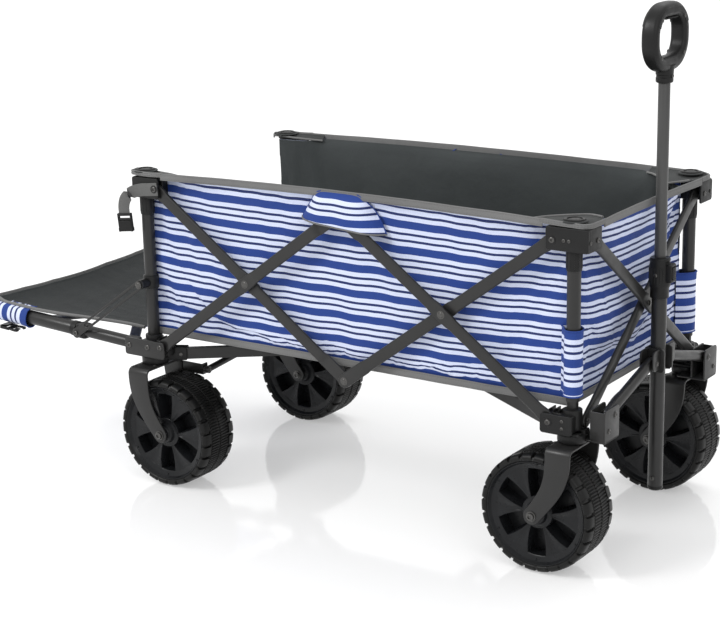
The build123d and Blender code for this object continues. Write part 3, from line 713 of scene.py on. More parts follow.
def bezier(a, b, c, d, t):
    """Point and direction of a cubic Bezier curve."""
    u = 1 - t
    here = a * u ** 3 + b * (3 * t * u * u) + c * (3 * t * t * u) + d * t ** 3
    return here, ((b - a) * (u * u) + (c - b) * (2 * t * u) + (d - c) * (t * t)).normalized()


def fork_arm(px, ax, py, k):
    """Stations of one arm: the bend from the top plate, the swept taper and the round end."""
    bend, stations = 9.0, []
    y = py + k * (FORK_Y + FORK_T / 2)
    for a in steps(0.0, pi / 2, 7):
        here = (px, y - k * bend * (1 - sin(a)), FORK_TOP - 2 - bend * (1 - cos(a)))
        stations.append((here, X, (0, k * sin(a), cos(a)), 22, 2))
    sweep = ((px, FORK_TOP - 11), (px, 160), (px + (ax - px) * 0.3, 140), (ax, AXLE_Z))
    guides = [Vector((x, y, z)) for x, z in sweep]
    for t in steps(1 / 16, 1.0, 16):
        here, along = bezier(*guides, t)
        wide = along.cross(Y)
        wide *= 1 if wide.x > 0 else -1
        stations.append((here, wide, Y * k, 22 - 7.5 * smooth(t), 2))
    for a in (0.35, 0.7, 1.0, 1.25, 1.42):
        stations.append((here + along * 14.5 * sin(a), wide, Y * k, 14.5 * cos(a), 2))
    return stations


def fork(e, s, code):
    """Bent sheet-steel fork: top plate, swept and tapered arms, axle bolt."""
    name = ("caster_fork_" if e > 0 else "fork_") + code
    p = Piece("bent_" + name, ("caster_" if e > 0 else "base_") + code, (name,))
    px, py, ax = e * POST_X, s * POST_Y, e * (POST_X - AXLE_BACK)
    p.box(px - 22, px + 22, py - FORK_Y + 5, py + FORK_Y - 5, FORK_TOP - 4, FORK_TOP, STEEL, 1.2)
    nut = [(6.6, 0), (6.8, 2.2), (6.2, 3.4), (4.4, 4.0), (3.2, 4.1), (3.0, 2.0), (0.3, 1.6)]
    for k in (-1, 1):
        p.ribbon(fork_arm(px, ax, py, k), STEEL, 1.4)
        face = py + k * (FORK_Y + FORK_T)
        p.rod((ax, face - k * 0.5, AXLE_Z), (ax, face + k * 1.8, AXLE_Z), 8.6, METAL, 0.5, 32)
        p.lathe((ax, face + k * 1.6, AXLE_Z), (0, k, 0), nut, METAL, 24)
    p.rod((ax, py - FORK_Y - 1, AXLE_Z), (ax, py + FORK_Y + 1, AXLE_Z), 5.9, METAL)
    p.rod((px, py, FORK_TOP - 1), (px, py, FORK_TOP + 1.2), 17, METAL, 0.5, 36)
    if e > 0:
        p.rod((px, py, FORK_TOP - 6), (px, py, FORK_TOP + 15), 6.8, METAL)
    else:
        for dx, dy in ((-15, -20), (15, -20), (-15, 20), (15, 20)):
            p.rivet((px + dx, py + dy, FORK_TOP - 0.3), Z, 3.0, METAL, 1.6)
        spreader_lug(p, s, py - s * (FORK_Y + FORK_T))
    p.done()


def spreader_lug(p, s, y):
    """Steel lug on a rear fork that the spreader pivots on."""
    p.box(-432, SPR_X - 13.5, y + s * 2, y, SPR_Z - 10, SPR_Z + 10, STEEL, 0.8)
    p.box(SPR_X - 17, SPR_X - 13.5, y + s * 2, y - s * 13, SPR_Z - 10, SPR_Z + 10, STEEL, 0.8, 3)
    p.rivet((SPR_X - 17, s * SPR_Y, SPR_Z), -X, 4.0, METAL)
    if s < 0:
        p.rod((SPR_X - 14, s * SPR_Y, SPR_Z), (SPR_X + 1, s * SPR_Y, SPR_Z), 2.5, METAL)


# ---- front link and handle ----
def front_link(s, code):
    """Round link tube flattened at its ends."""
    length = hypot(TOG_Y - HUB_Y, HUB_Z - TOG_Z)
    place = turned((TOG_X, s * TOG_Y, TOG_Z), (0, -s * (TOG_Y - HUB_Y), HUB_Z - TOG_Z), X)
    p = Piece("front_link_tube_" + code, "front_link_" + code, ("front_link_" + code,), place=place)
    rings = []
    for x in (-9.2, -8.2, -6, -3, 0, 8, 14, 20, 26, length - 26, length - 20, length - 14, length - 8, length,
              length + 3, length + 6, length + 8.2, length + 9.2):
        near_end = min(max((26 - min(x, length - x)) / 14, 0.0), 1.0)
        ht = 9.0 - 3.2 * near_end
        hw = 9.0 + 1.0 * near_end
        past = max(-x, x - length, 0.0)
        hw = min(hw, sqrt(max(9.6 ** 2 - past ** 2, 1.0)))
        rings.append([(x, a, b) for a, b in soft_box(hw, ht, min(hw, ht) * (0.98 - 0.4 * near_end), 6)])
    p.loft(rings, STEEL)
    p.done()


HUB_FRONT, HUB_BACK = 479.9, 458.1      # link plates of the saddle


def saddle():
    """Steel saddle that joins both link tubes and holds the pull handle."""
    p = Piece("handle_saddle", "handle_hub", ("handle_hub",))
    for k in (-1, 1):
        p.box(454.5, 458.5, k * 13.3, k * 17.3, 312, 326, STEEL, 0.8)
        place = turned((472.8, k * 15.3, 306), X, Y)
        p.plate(16.2, 20, 6, -2.0, 2.0, STEEL, 0.9, place)
        for x in (HUB_FRONT, HUB_BACK):
            place = turned((x, k * 27.5, 309), Y, X)
            p.plate(14, 17, 8, -1.5, 1.5, STEEL, 0.8, place)
        p.screw((HUB_FRONT + 1.5, k * HUB_Y, HUB_Z), X, 4.4, METAL)
        p.rod((HUB_FRONT + 1.2, k * HUB_Y, HUB_Z), (HUB_FRONT + 2.0, k * HUB_Y, HUB_Z), 6.6, STEEL, 0.3)
        p.rod((HUB_BACK, k * HUB_Y, HUB_Z), (HUB_FRONT, k * HUB_Y, HUB_Z), 3.0, METAL)
        p.screw((HAN_X, k * 17.3, HUB_Z), (0, k, 0), 4.6, METAL)
    p.box(454.5, 457.0, -16, 16, 312, 326, STEEL, 0.8)
    for k in (-1, 1):
        p.rod((HAN_X, k * 11.6, HUB_Z), (HAN_X, k * 17, HUB_Z), 3.9, METAL)
    p.done()


def pull_handle():
    """Lower tube with its end plug, lock collar, upper tube, button and finger-ribbed ring grip."""
    p = Piece("handle_lower_tube", "handle_outer", ("handle_outer_tube",))
    p.rod((HAN_X, 0, 82), (HAN_X, 0, 440), 12.5, STEEL, 0.6, 40)
    foot = [(8, 0), (11.4, 0.8), (12.3, 2.2), (12.9, 3), (12.9, 7), (12.4, 7.6)]
    p.lathe((HAN_X, 0, 78), Z, foot, PLASTIC, 40)
    for k in (-1, 1):
        p.rivet((HAN_X, k * 12.2, 100), (0, k, 0), 3.4, METAL, 1.8)
    p.done()
    p = Piece("handle_lock_collar", "handle_outer", ("lock_collar",), "black_plastic")
    collar = [(13.2, -20), (15.2, -19), (15.4, -3), (17.2, 0), (17.6, 3), (17.6, 34), (17.0, 36),
              (16.4, 38), (16.4, 42), (17.0, 43), (17.0, 45), (15.8, 47), (9.8, 47)]
    p.lathe((HAN_X, 0, COLLAR_Z), Z, collar, PLASTIC, 40)
    for x0, x1, z0, z1 in ((14, 24, 436, 440.6), (14, 24, 461.4, 466)):
        p.box(HAN_X + x0, HAN_X + x1, -10, 10, z0, z1, PLASTIC, 1.5, 3)
    for k in (-1, 1):
        p.box(HAN_X + 14, HAN_X + 24, k * 7.2, k * 10, 438, 464, PLASTIC, 1.2)
    p.box(HAN_X + 14, HAN_X + 17.4, -9, 9, 437, 465, PLASTIC, 0.8)
    for a in range(18):
        turn = radians(50 + a * 260 / 17)
        x, y = HAN_X + 17.3 * cos(turn), 17.3 * sin(turn)
        p.rod((x, y, 434), (x, y, 459), 0.9, PLASTIC, 0.4, 8)
    p.screw((HAN_X, -17.4, 448), -Y, 3.4, METAL, 1.4)
    p.done()
    p = Piece("lock_thumb_button", "lock_button", ("lock_button",), "black_plastic")
    place = turned((HAN_X + 22.6, 0, BUTTON_Z), Y, X)
    p.plate(6.4, 9.4, 3.5, -2.8, 2.8, SOFT, 1.4, place)
    for k in (-2, -1, 0, 1, 2):
        z = BUTTON_Z + k * 3
        p.box(HAN_X + 25, HAN_X + 25.9, -4.2, 4.2, z - 0.6, z + 0.6, SOFT, 0.3)
    p.done()
    p = Piece("handle_upper_tube", "handle_inner", ("handle_inner_tube",))
    p.rod((HAN_X, 0, 390), (HAN_X, 0, 772), 9.6, LIGHTER_STEEL, 0.6, 40)
    p.done()
    ring_grip()


def ring_grip():
    """Moulded ring grip with softer palm bands, finger ribs and four screws on each face."""
    p = Piece("handle_ring_grip", "handle_inner", ("grip",), "black_plastic")
    place = turned((HAN_X, 0, GRIP_Z), Y, X)
    outer, inner = soft_box(62, 54, 50, 12), soft_box(45, 30, 25, 12)
    n = len(outer)
    rings, band = [], []
    for i in range(n):
        a, b = Vector(outer[i]), Vector(inner[i])
        middle, reach = (a + b) / 2, (a - b) / 2
        half = reach.length
        direction = reach.normalized()
        ring = [(middle.x + direction.x * u, middle.y + direction.y * u, w)
                for u, w in soft_box(half, 14, min(half, 14) * 0.82, 5)]
        rings.append(ring)
        if middle.y > 18:
            band.append((middle.x, middle.y))
    band.sort()
    p.place = place
    p.loft(rings, PLASTIC, loop=True)
    for i in range(9):
        y = -20 + i * 5.0
        p.sweep([(y, 29.5, w) for w in (-11, -6, 0, 6, 11)], circle(1.5, 10), SOFT, up=Vector((0, 1, 0)))
    for w in (-13.6, 13.6):
        p.sweep([(x, y, w) for x, y in band], soft_box(4.5, 0.9, 0.8, 3), SOFT, up=Vector((0, 0, 1)))
    for x, y in ((41, 29), (-41, 29), (41, -29), (-41, -29)):
        for w in (-1, 1):
            p.screw((x, y, w * 13.6), (0, 0, w), 3.4, METAL, 1.6)
    p.place = Matrix.Identity(4)
    neck = [(12.0, 0), (13.6, 1), (14.0, 3), (14.0, 8), (13.2, 9), (13.2, 12), (14.2, 13), (14.6, 20),
            (17, 28)]
    p.lathe((HAN_X, 0, NECK_Z), Z, neck, PLASTIC, 36)
    p.screw((HAN_X + 13.8, 0, 768), X, 3.2, METAL, 1.4)
    p.done()


# ---- rear spreader ----
def rear_spreader(s, code):
    """One half of the folding spreader with its moulded knuckle; the halves lie side by side."""
    length = hypot(SPR_Y, SPR_RISE)
    place = turned((SPR_X + s * SPR_LAYER, s * SPR_Y, SPR_Z), (0, -s * SPR_Y, SPR_RISE), X)
    p = Piece("spreader_arm_" + code, "rear_spreader_" + code, ("rear_spreader_" + code,), place=place)
    p.rod((4, 0, 0), (length - 18, 0, 0), 6, STEEL, 0.6, 30)
    p.rod((0, 0, -5.4), (0, 0, 5.4), 6.5, STEEL, 1.0, 30)
    p.lathe((length - 40, 0, 0), X, [(6.2, 0), (7.4, 0.8), (7.6, 3), (7.6, 10), (8.2, 12)], PLASTIC, 30)
    p.box(length - 30, length, -8.4, 8.4, -5.8, 5.8, PLASTIC, 1.5)
    p.rod((length, 0, -5.8), (length, 0, 5.8), 8.4, PLASTIC, 1.2, 32)
    for k in range(3):
        p.box(length - 26 + k * 6, length - 23.4 + k * 6, -8.8, 8.8, -6.0, 6.0, PLASTIC, 0.6)
    p.rivet((length, 0, s * 5.7), (0, 0, s), 4.2, METAL)
    p.done()


# ---- gate ----
GATE_PLACE = turned((GATE_X, 0, Z_LOW), (-cos(radians(GATE_TILT)), 0, sin(radians(GATE_TILT))),
                    (sin(radians(GATE_TILT)), 0, cos(radians(GATE_TILT))))


def gate_side(s, code):
    """Gate tube with its hinge block, and the sliding end sleeve. Here Y points right."""
    y, py = -s * GATE_Y, -s * PIV_Y
    p = Piece("gate_rail_" + code, "gate_tube_" + code, ("gate_tube_" + code,), place=GATE_PLACE)
    p.rod((8, y, 0), (GATE_LEN, y, 0), 11, STEEL, 0.6, 36)
    p.box(-8, 16, y - 10.4, y + 10.4, -10.8, 10.8, PLASTIC, 3.0, 5)
    p.rod((0, y - 10.4, 0), (0, y + 10.4, 0), 10.9, PLASTIC, 1.2, 32)
    p.box(17.5, 42.5, y + s * 12, py - s * -13, -12.4, -1.6, PLASTIC, 2.0)
    p.rod((30, py, -29 if s < 0 else -20), (30, py, -8), 3.0, METAL)
    if s < 0:
        p.rivet((30, py, -28.6), -Z, 4.6, METAL)
    p.box(STAY_D - 13, STAY_D + 13, y - 13, y + 13, -13, 13, PLASTIC, 3.5, 7)
    p.screw((STAY_D, y - s * 23.0, 0), (0, -s, 0), 4.6, METAL)
    p.rod((STAY_D, y - s * 12, 0), (STAY_D, y - s * 18.6, 0), 8.0, PLASTIC, 1.0)
    p.rod((STAY_D, y - s * 18, 0), (STAY_D, y - s * 23.4, 0), 2.8, METAL, 0.4)
    p.done()
    p = Piece("gate_end_sleeve_" + code, "gate_sleeve_" + code, ("gate_sleeve_" + code,), place=GATE_PLACE)
    p.rod((SLEEVE_AT, y, 0), (GATE_LEN + 2, y, 0), 13, STEEL, 0.8, 36, hollow=11.3)
    ring = [(13.0, 0), (14.2, 0.8), (14.4, 2), (14.4, 12), (13.1, 13.2)]
    cap = [(13.6, -14), (14.4, -13), (14.4, 2), (12.5, 4.6), (8, 5.6)]
    p.lathe((SLEEVE_AT - 1, y, 0), X, ring, PLASTIC, 36)
    p.lathe((GATE_LEN + 0.5, y, 0), X, cap, PLASTIC, 36)
    p.box(308, 332, y - 13.4, y + 13.4, -12, 12, PLASTIC, 2.5, 5)
    p.box(307.5, 332.5, y - s * -6, py - s * -10, -12.2, -3.8, PLASTIC, 1.8)
    p.rod((320, py, -29 if s > 0 else -20), (320, py, -8), 3.0, METAL)
    if s > 0:
        p.rivet((320, py, -28.6), -Z, 4.6, METAL)
    p.done()


def gate_cross():
    rise = Z_TOP - Z_LOW
    for name, y0, depth in (("gate_bar_upper", PIV_Y, -17.5), ("gate_bar_lower", -PIV_Y, -26.5)):
        start = GATE_PLACE @ Vector((30, y0, depth))
        end = GATE_PLACE @ Vector((30 + rise, -y0, depth))
        outward = GATE_PLACE.to_3x3() @ Vector((0, 0, -1))
        flat_bar(name, start, end, outward, heads=((BAR_L / 2, 1 if depth < -20 else -1),))


def gate_stay(s, code):
    """Flat stay with a rounded end and a long slot."""
    clamp = GATE_PLACE @ Vector((STAY_D, 0, 0))
    place = turned((clamp.x, s * (POST_Y + 33), clamp.z), (-POST_X - clamp.x, 0, STAY_Z - clamp.z), -Y)
    p = Piece("gate_slotted_stay_" + code, "gate_stay_" + code, ("gate_stay_" + code,), place=place)
    n, rings = 16, []
    outer, inner = [], []
    for c0, c1, r, store in ((0.0, 196.0, 8.0, outer), (30.6, 195.4, 3.7, inner)):
        for i in range(n + 1):
            a = -pi / 2 + pi * i / n
            store.append((c1 + r * cos(a), r * sin(a)))
        for i in range(n + 1):
            a = pi / 2 + pi * i / n
            store.append((c0 + r * cos(a), r * sin(a)))
    for (ox, oy), (ix, iy) in zip(outer, inner):
        rings.append([(ox, oy, -1.0), (ox * 0.999, oy * 0.94, -1.4), (ix, iy, -1.4), (ix, iy, 1.4),
                      (ox * 0.999, oy * 0.94, 1.4), (ox, oy, 1.0)])
    p.loft(rings, STEEL, loop=True)
    p.rod((0, 0, -1.5), (0, 0, 1.5), 9.6, STEEL, 0.4, 30)
    p.done()


# ---- floor ----
def carried_nodes():
    """CAD pieces whose shape is right as it is."""
    names = [kind + code for kind in ("floor_arm_", "post_tube_") for _, _, code in CORNERS]
    for name in names + ["floor_hub"]:
        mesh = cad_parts[name].data
        mesh.materials.clear()
        mesh.materials.append(PLASTIC if name == "floor_hub" else STEEL)
        mesh.shade_smooth()
        mesh.set_sharp_from_angle(angle=radians(30))


# ---- fabric tub ----
CLOTH = 1.6               # cloth thickness
RIM_OUT, RIM_FRONT = 229.0, 460.0
RIM_Z, HEM_Z = 572.0, 272.0   # bound rim and hem of the walls
PATCH_X = 372.0           # the corner patches begin here


def waves(u, v, seed, size=60.0):
    """Gentle unevenness between -1 and 1."""
    return noise.noise(Vector((u / size, v / size, seed)))


def folds(u, v, seed, size=70.0):
    """Broad folds running mostly up and down the cloth, between -1 and 1."""
    lean = u + 0.45 * v
    broad = noise.noise(Vector((lean / size, v / (3.2 * size), seed)))
    crease = 1 - abs(noise.noise(Vector((lean / (0.8 * size), v / (2.4 * size), seed + 7.0)))) * 2
    return 0.75 * broad + 0.45 * crease ** 3


def stripe_measure(x, z, u):
    """The weave's own height at a point of a wall: the stripes wander where the cloth hangs slack."""
    stretch = 1.032 + 0.122 * (x + 390) / 1000
    return 372.0 + (z - 372.0) * stretch + 2.6 * noise.noise(Vector((u / 42.0, z / 260.0, 3.0)))


def settle(grid, held, slack, place=Matrix.Identity(4), frames=22):
    """Cloth with a little spare length sags and wrinkles between the points where it is held."""
    to_world = TO_ROW @ place
    rows, cols = len(grid), len(grid[0])
    mesh = bpy.data.meshes.new("settling")
    faces = [(i * cols + j, (i + 1) * cols + j, (i + 1) * cols + j + 1, i * cols + j + 1)
             for i in range(rows - 1) for j in range(cols - 1)]
    mesh.from_pydata([to_world @ Vector(p) for row in grid for p in row], [], faces)
    obj = bpy.data.objects.new("settling", mesh)
    bpy.context.scene.collection.objects.link(obj)
    group = obj.vertex_groups.new(name="held")
    for i in range(rows):
        for j in range(cols):
            if held(i, j):
                group.add([i * cols + j], held(i, j), "REPLACE")
    cloth_mod = obj.modifiers.new("cloth", "CLOTH")
    s = cloth_mod.settings
    s.quality, s.mass, s.air_damping = 6, 0.25, 4.0
    s.tension_stiffness = s.compression_stiffness = s.shear_stiffness = 25.0
    s.bending_stiffness = 0.6
    s.vertex_group_mass = "held"
    s.shrink_min = -slack
    cloth_mod.point_cache.frame_end = frames
    scene = bpy.context.scene
    for number in range(1, frames + 1):
        scene.frame_set(number)
    settled = obj.evaluated_get(bpy.context.evaluated_depsgraph_get())
    back = to_world.inverted()
    points = [back @ v.co for v in settled.data.vertices]
    bpy.data.objects.remove(obj)
    scene.frame_set(1)
    return [[points[i * cols + j] for j in range(cols)] for i in range(rows)]


def limited(grid, start, axis, outward, inward):
    """Keeps each settled point within soft limits of where it started, measured along axis."""
    for row, old_row in zip(grid, start):
        for j, (new, old) in enumerate(zip(row, old_row)):
            old = Vector(old)
            away = (new - old).dot(axis)
            limit = outward if away > 0 else inward
            row[j] = new + axis * (limit * away / (limit + abs(away)) - away)
    return grid


def side_rim(x, s):
    bow = 1 - (x / 400.0) ** 2
    return Vector((x, s * (RIM_OUT - 4 * bow), RIM_Z + 6 * bow + 0.8 * waves(x, 0, 2.0, 90)))


def front_rim(y):
    bow = 1 - (y / 190.0) ** 2
    return Vector((RIM_FRONT - 7 * bow, y, RIM_Z - 1 - bow + 0.8 * waves(0, y, 5.0, 80)))


def binding(p, points, outward, height=13.0, thick=1.3):
    """Folded tape over a cloth edge, hanging from the given line; outward(i) is its normal."""
    stations = []
    for i, point in enumerate(points):
        stations.append((Vector(point) - Z * (height / 2 - 1.2), Z, outward(i), height / 2, thick))
    p.ribbon(stations, TAPE, 1.2, 3, lengths=True)
    for drop in (2.4, height - 2.8):
        stitches(p, [Vector(q) + outward(i) * (thick + 0.1) - Z * (drop - 1.2)
                     for i, q in enumerate(points)], outward)


def stitches(p, points, normal, pitch=5.0, length=3.2):
    """Row of raised stitches along a line."""
    points = [Vector(q) for q in points]
    spare = 0.0
    for i, (a, b) in enumerate(zip(points, points[1:])):
        span = (b - a).length
        along = (b - a) / span
        out = normal(i)
        over = along.cross(out)
        at = spare
        while at + length < span + 2:
            start, end = a + along * at, a + along * (at + length)
            middle = (start + end) / 2 + out * 0.28
            rings = []
            for centre, r in ((start, 0.12), (middle, 0.34), (end, 0.12)):
                rings.append([centre + over * r, centre + out * r, centre - over * r, centre - out * r])
            p.loft(rings, THREAD)
            at += pitch
        spare = at - span


def side_wall(s, code):
    """Long wall: striped outside, grey inside, with its ledge and bound rim above and hem below."""
    p = Piece("tub_side_" + code, "top_r" + code[0], ("tub_wall_" + code,), "striped_cloth")
    out = Vector((0, s, 0))
    depth, size = (7.0, 120.0) if s > 0 else (4.0, 70.0)
    xs = steps(-433.0, 413.0, 122)
    if s > 0:
        xs = xs[::-1]
    zs = steps(HEM_Z, RIM_Z - 9.0, 44)
    grid, measure = [], []
    for x in xs:
        column = []
        for z in zs:
            t = max((z - 470.0) / (zs[-1] - 470.0), 0.0)
            top = 1 - min((RIM_Z + 6 - z) / 160.0, 1.0)
            lean = smooth((376.0 - abs(x)) / 50.0)
            rest = sin(pi * max(z - HEM_Z - 12, 0) / (zs[-1] - HEM_Z - 12)) ** 0.8
            flare = 3.0 + 6.0 * cos(pi * x / 400.0) ** 2
            bulge = rest * (1.0 + depth * folds(x, z, 9.0 + s, size))
            y = 198.6 + (4.0 * t + 23.0 * t ** flare) * lean + bulge
            y -= 9.0 * rest * smooth((y - 199.0) / 60.0)
            column.append(Vector((x, s * y, z + 6 * (1 - (x / 400.0) ** 2) * top)))
        grid.append(column)
        measure.append([(x, stripe_measure(x, z, x)) for z in zs])
    last, top = len(xs) - 1, len(zs) - 1

    def held(i, j):
        edge = j <= 2 or j >= top - 1 or i <= 1 or i >= last - 1
        return 1.0 if edge else 0.0
    grid = limited(settle(grid, held, 0.02), grid, out, 5.0, 14.0)
    p.sheet(grid, measure, CLOTH, STRIPE, GREY)
    ledge_xs = [x for x in xs if abs(x) <= PATCH_X + 12]
    rim = [side_rim(x, s) for x in ledge_xs]
    binding(p, rim, lambda i: out)
    hem = [Vector((x, s * (203.2 + 0.5 * waves(x, 0, 1.0, 50)), HEM_Z + 11 + 0.8 * waves(x, 3, 1.0, 70)))
           for x in xs]
    binding(p, hem, lambda i: out)
    obj = p.done(50)
    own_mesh(obj)
    return obj


def front_wall():
    """Short wall behind the front cross."""
    p = Piece("tub_front", "top_fr", ("tub_wall_front",), "striped_cloth")
    ys = steps(-200.0, 200.0, 60)
    zs = steps(HEM_Z, RIM_Z - 10.0, 44)
    grid, measure = [], []
    for y in ys:
        column = []
        for z in zs:
            rise = (z - HEM_Z) / (zs[-1] - HEM_Z)
            lean = smooth((172.0 - abs(y)) / 40.0)
            rest = sin(pi * max(rise - 0.04, 0) / 0.96) ** 0.8
            flare = 8.0 * rise + 33.0 * rise ** 8 * (1 - (y / 260.0) ** 2)
            x = 412.5 + flare * lean + rest * (7.5 * folds(y, z, 4.0, 60.0) - 2.0)
            column.append(Vector((x, y, z)))
        grid.append(column)
        measure.append([(y, stripe_measure(413.0, z + 10.0, y + 500.0)) for z in zs])
    last, top = len(ys) - 1, len(zs) - 1

    def held(i, j):
        return 1.0 if j <= 2 or j >= top - 1 or i <= 1 or i >= last - 1 else 0.0
    grid = limited(settle(grid, held, 0.035), grid, X, 6.0, 20.0)
    p.sheet(grid, measure, CLOTH, STRIPE, GREY)
    ledge_ys = [y for y in ys if abs(y) < 182]
    rim = [front_rim(y) for y in ledge_ys]
    binding(p, rim, lambda i: X)
    hem = [Vector((417.0 + 0.5 * waves(y, 0, 1.0, 50), y, HEM_Z + 11)) for y in ys]
    binding(p, hem, lambda i: X)
    obj = p.done(50)
    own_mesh(obj)
    return obj


def corner_patch(e, s, code):
    """Reinforced corner of the rim: coarse grey patch over the bracket with a bound edge."""
    p = Piece("corner_patch_" + code, "top_" + code, (), "grey_cloth")
    outer = [side_rim(e * 346, s), side_rim(e * PATCH_X, s),
             Vector((e * 405, s * (RIM_OUT + 1.0), RIM_Z - 0.5))]
    if e > 0:
        r, cx, cy = 26.0, RIM_FRONT - 26.0, RIM_OUT + 1.5 - 26.0
        for i in range(9):
            a = pi / 2 * (1 - i / 8)
            outer.append(Vector((cx + r * cos(a), s * (cy + r * sin(a)), RIM_Z - 1 - 1.5 * sin(2 * a))))
        outer += [front_rim(s * y) + X * 0.5 for y in (200, 190, 180)]
        inner = [Vector((346, 208, RIM_Z - 6)), Vector((364, 192, RIM_Z - 4)), Vector((388, 168, RIM_Z - 4)),
                 Vector((411, 140, RIM_Z - 6)), Vector((430, 148, RIM_Z - 4)), Vector((446, 160, RIM_Z - 2))]
    else:
        r, cx, cy = 16.0, 449.0 - 16.0, RIM_OUT + 1.5 - 16.0
        for i in range(7):
            a = pi / 2 * (1 - i / 6)
            outer.append(Vector((-cx - r * cos(a), s * (cy + r * sin(a)), RIM_Z - 1 + 1.5 * sin(a))))
        outer += [Vector((-449, s * 206, RIM_Z)), Vector((-446, s * 198, RIM_Z - 2))]
        inner = [Vector((338, 209, RIM_Z - 7)), Vector((PATCH_X, 200, RIM_Z - 5)),
                 Vector((PATCH_X + 30, 197.5, RIM_Z - 4)), Vector((428, 197, RIM_Z - 3)),
                 Vector((444, 197, RIM_Z - 3))]
    inner = [Vector((e * q.x, s * q.y, q.z)) for q in inner]
    outer, inner = along_curve(outer, 34), along_curve(inner, 34)
    grid, measure = [], []
    for i, (a, b) in enumerate(zip(outer, inner)):
        rise = waves(a.x, a.y, 3.0, 40)
        row = [a.lerp(b, t) + Z * (1.6 * sin(pi * t) * rise - 0.8) for t in steps(0, 1, 9)]
        grid.append(row)
        measure.append([(i * 4.0, k * 5.0) for k in range(9)])
    if e * s > 0:
        grid, measure = grid[::-1], measure[::-1]
    p.sheet(grid, measure, 1.2, MESH, GREY)
    bound = next(i for i, q in enumerate(outer) if abs(q.x) >= PATCH_X)
    normals = []
    for i in range(len(outer)):
        along = outer[min(i + 1, 33)] - outer[max(i - 1, 0)]
        along.z = 0
        normal = along.normalized().cross(Z)
        normals.append(normal if normal.dot(Vector((e, s, 0))) > 0 else -normal)
    binding(p, [q + Z * 1.0 for q in outer[bound:]], lambda i: normals[min(i + bound, 33)], 8.5)
    p.sweep(inner, circle(1.9, 10), TAPE, lengths=True)
    ring = [(17.2, 0), (21.5, 0.2), (22.2, 1.2), (21.4, 2.2), (17.2, 2.4)]
    p.lathe((e * POST_X, s * POST_Y, RIM_Z - 0.8), Z, ring, MESH, 40, ring=True)
    obj = p.done(50)
    return obj


def along_curve(points, count):
    """Even points along a smooth curve through the given ones."""
    points = [Vector(q) for q in points]
    dense = []
    for i in range(len(points) - 1):
        p0, p1 = points[max(i - 1, 0)], points[i]
        p2, p3 = points[i + 1], points[min(i + 2, len(points) - 1)]
        for k in range(12):
            t = k / 12
            dense.append(0.5 * (2 * p1 + (p2 - p0) * t + (2 * p0 - 5 * p1 + 4 * p2 - p3) * t * t
                                + (3 * p1 - p0 - 3 * p2 + p3) * t ** 3))
    dense.append(points[-1])
    lengths = [0.0]
    for a, b in zip(dense, dense[1:]):
        lengths.append(lengths[-1] + (b - a).length)
    even, k = [], 0
    for i in range(count):
        want = lengths[-1] * i / (count - 1)
        while k < len(dense) - 2 and lengths[k + 1] < want:
            k += 1
        share = (want - lengths[k]) / max(lengths[k + 1] - lengths[k], 1e-6)
        even.append(dense[k].lerp(dense[k + 1], min(share, 1.0)))
    return even


def joint_flap(s, code):
    """Half-round flap sewn to the rim, over the joint in the middle of the long side."""
    p = Piece("joint_flap_" + code, "top_r" + code[0], (), "striped_cloth")
    across, down = steps(-1.0, 1.0, 45), steps(0.0, 1.0, 26)
    if s > 0:
        across = across[::-1]
    grid, measure = [], []
    for a in across:
        row, uv = [], []
        for b in down[::-1]:
            half = 36.0 + 48.0 * b ** 0.62
            x = a * half
            z = RIM_Z + 4 - 57.0 * b - 7.0 * a * b
            dome = (1 - abs(a) ** 5) * smooth(b * 3.2)
            y = RIM_OUT - 3.0 + 12.0 * dome - 13.0 * abs(a) ** 6 * smooth(b * 2)
            y += 1.2 * waves(x, z, 6.0, 25) * dome
            row.append(Vector((x, s * y, z)))
            uv.append((x, stripe_measure(x, z, x) + 4.0))
        grid.append(row)
        measure.append(uv)
    p.sheet(grid, measure, CLOTH, STRIPE, GREY)
    edge = [row[0] for row in grid]
    out = Vector((0, s, 0))
    p.sweep(edge, circle(1.5, 10), TAPE, up=out, lengths=True)
    for side in (grid[0], grid[-1]):
        p.sweep(side, circle(1.1, 8), STRIPE, up=out, lengths=True)
    obj = p.done(60)
    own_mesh(obj)
    return obj


def post_sleeve(s, code):
    """Striped loop of the tub around a front post."""
    p = Piece("post_sleeve_" + code, "top_f" + code[0], (), "striped_cloth")
    r = 14.6
    route = [Vector((398, s * 200.3, 0)), Vector((404, s * 206, 0)), Vector((409.3, s * 213, 0))]
    for i in range(9):
        a = radians(160 - 150 * i / 8)
        route.append(Vector((POST_X + r * cos(a), s * (POST_Y + r * sin(a)), 0)))
    route += [Vector((438.5, s * 205, 0)), Vector((431, s * 194, 0)), Vector((416, s * 184, 0))]
    route = along_curve(route, 60)
    if s > 0:
        route = route[::-1]
    zs = steps(294.0, 400.0, 18)
    grid, measure, length = [], [], 0.0
    for i, q in enumerate(route):
        length += (q - route[max(i - 1, 0)]).length
        away = Vector((q.x - 410, q.y - s * 200, 0)).normalized() * 0.8
        grid.append([q + Z * z + away * waves(q.x * 2, z, 7.0, 45) for z in zs])
        measure.append([(length, z + 18.0) for z in zs])
    p.sheet(grid, measure, CLOTH, STRIPE, GREY)
    for k in (0, len(zs) - 1):
        p.sweep([row[k] for row in grid], circle(1.3, 8), STRIPE, lengths=True)
    obj = p.done(50)
    return obj


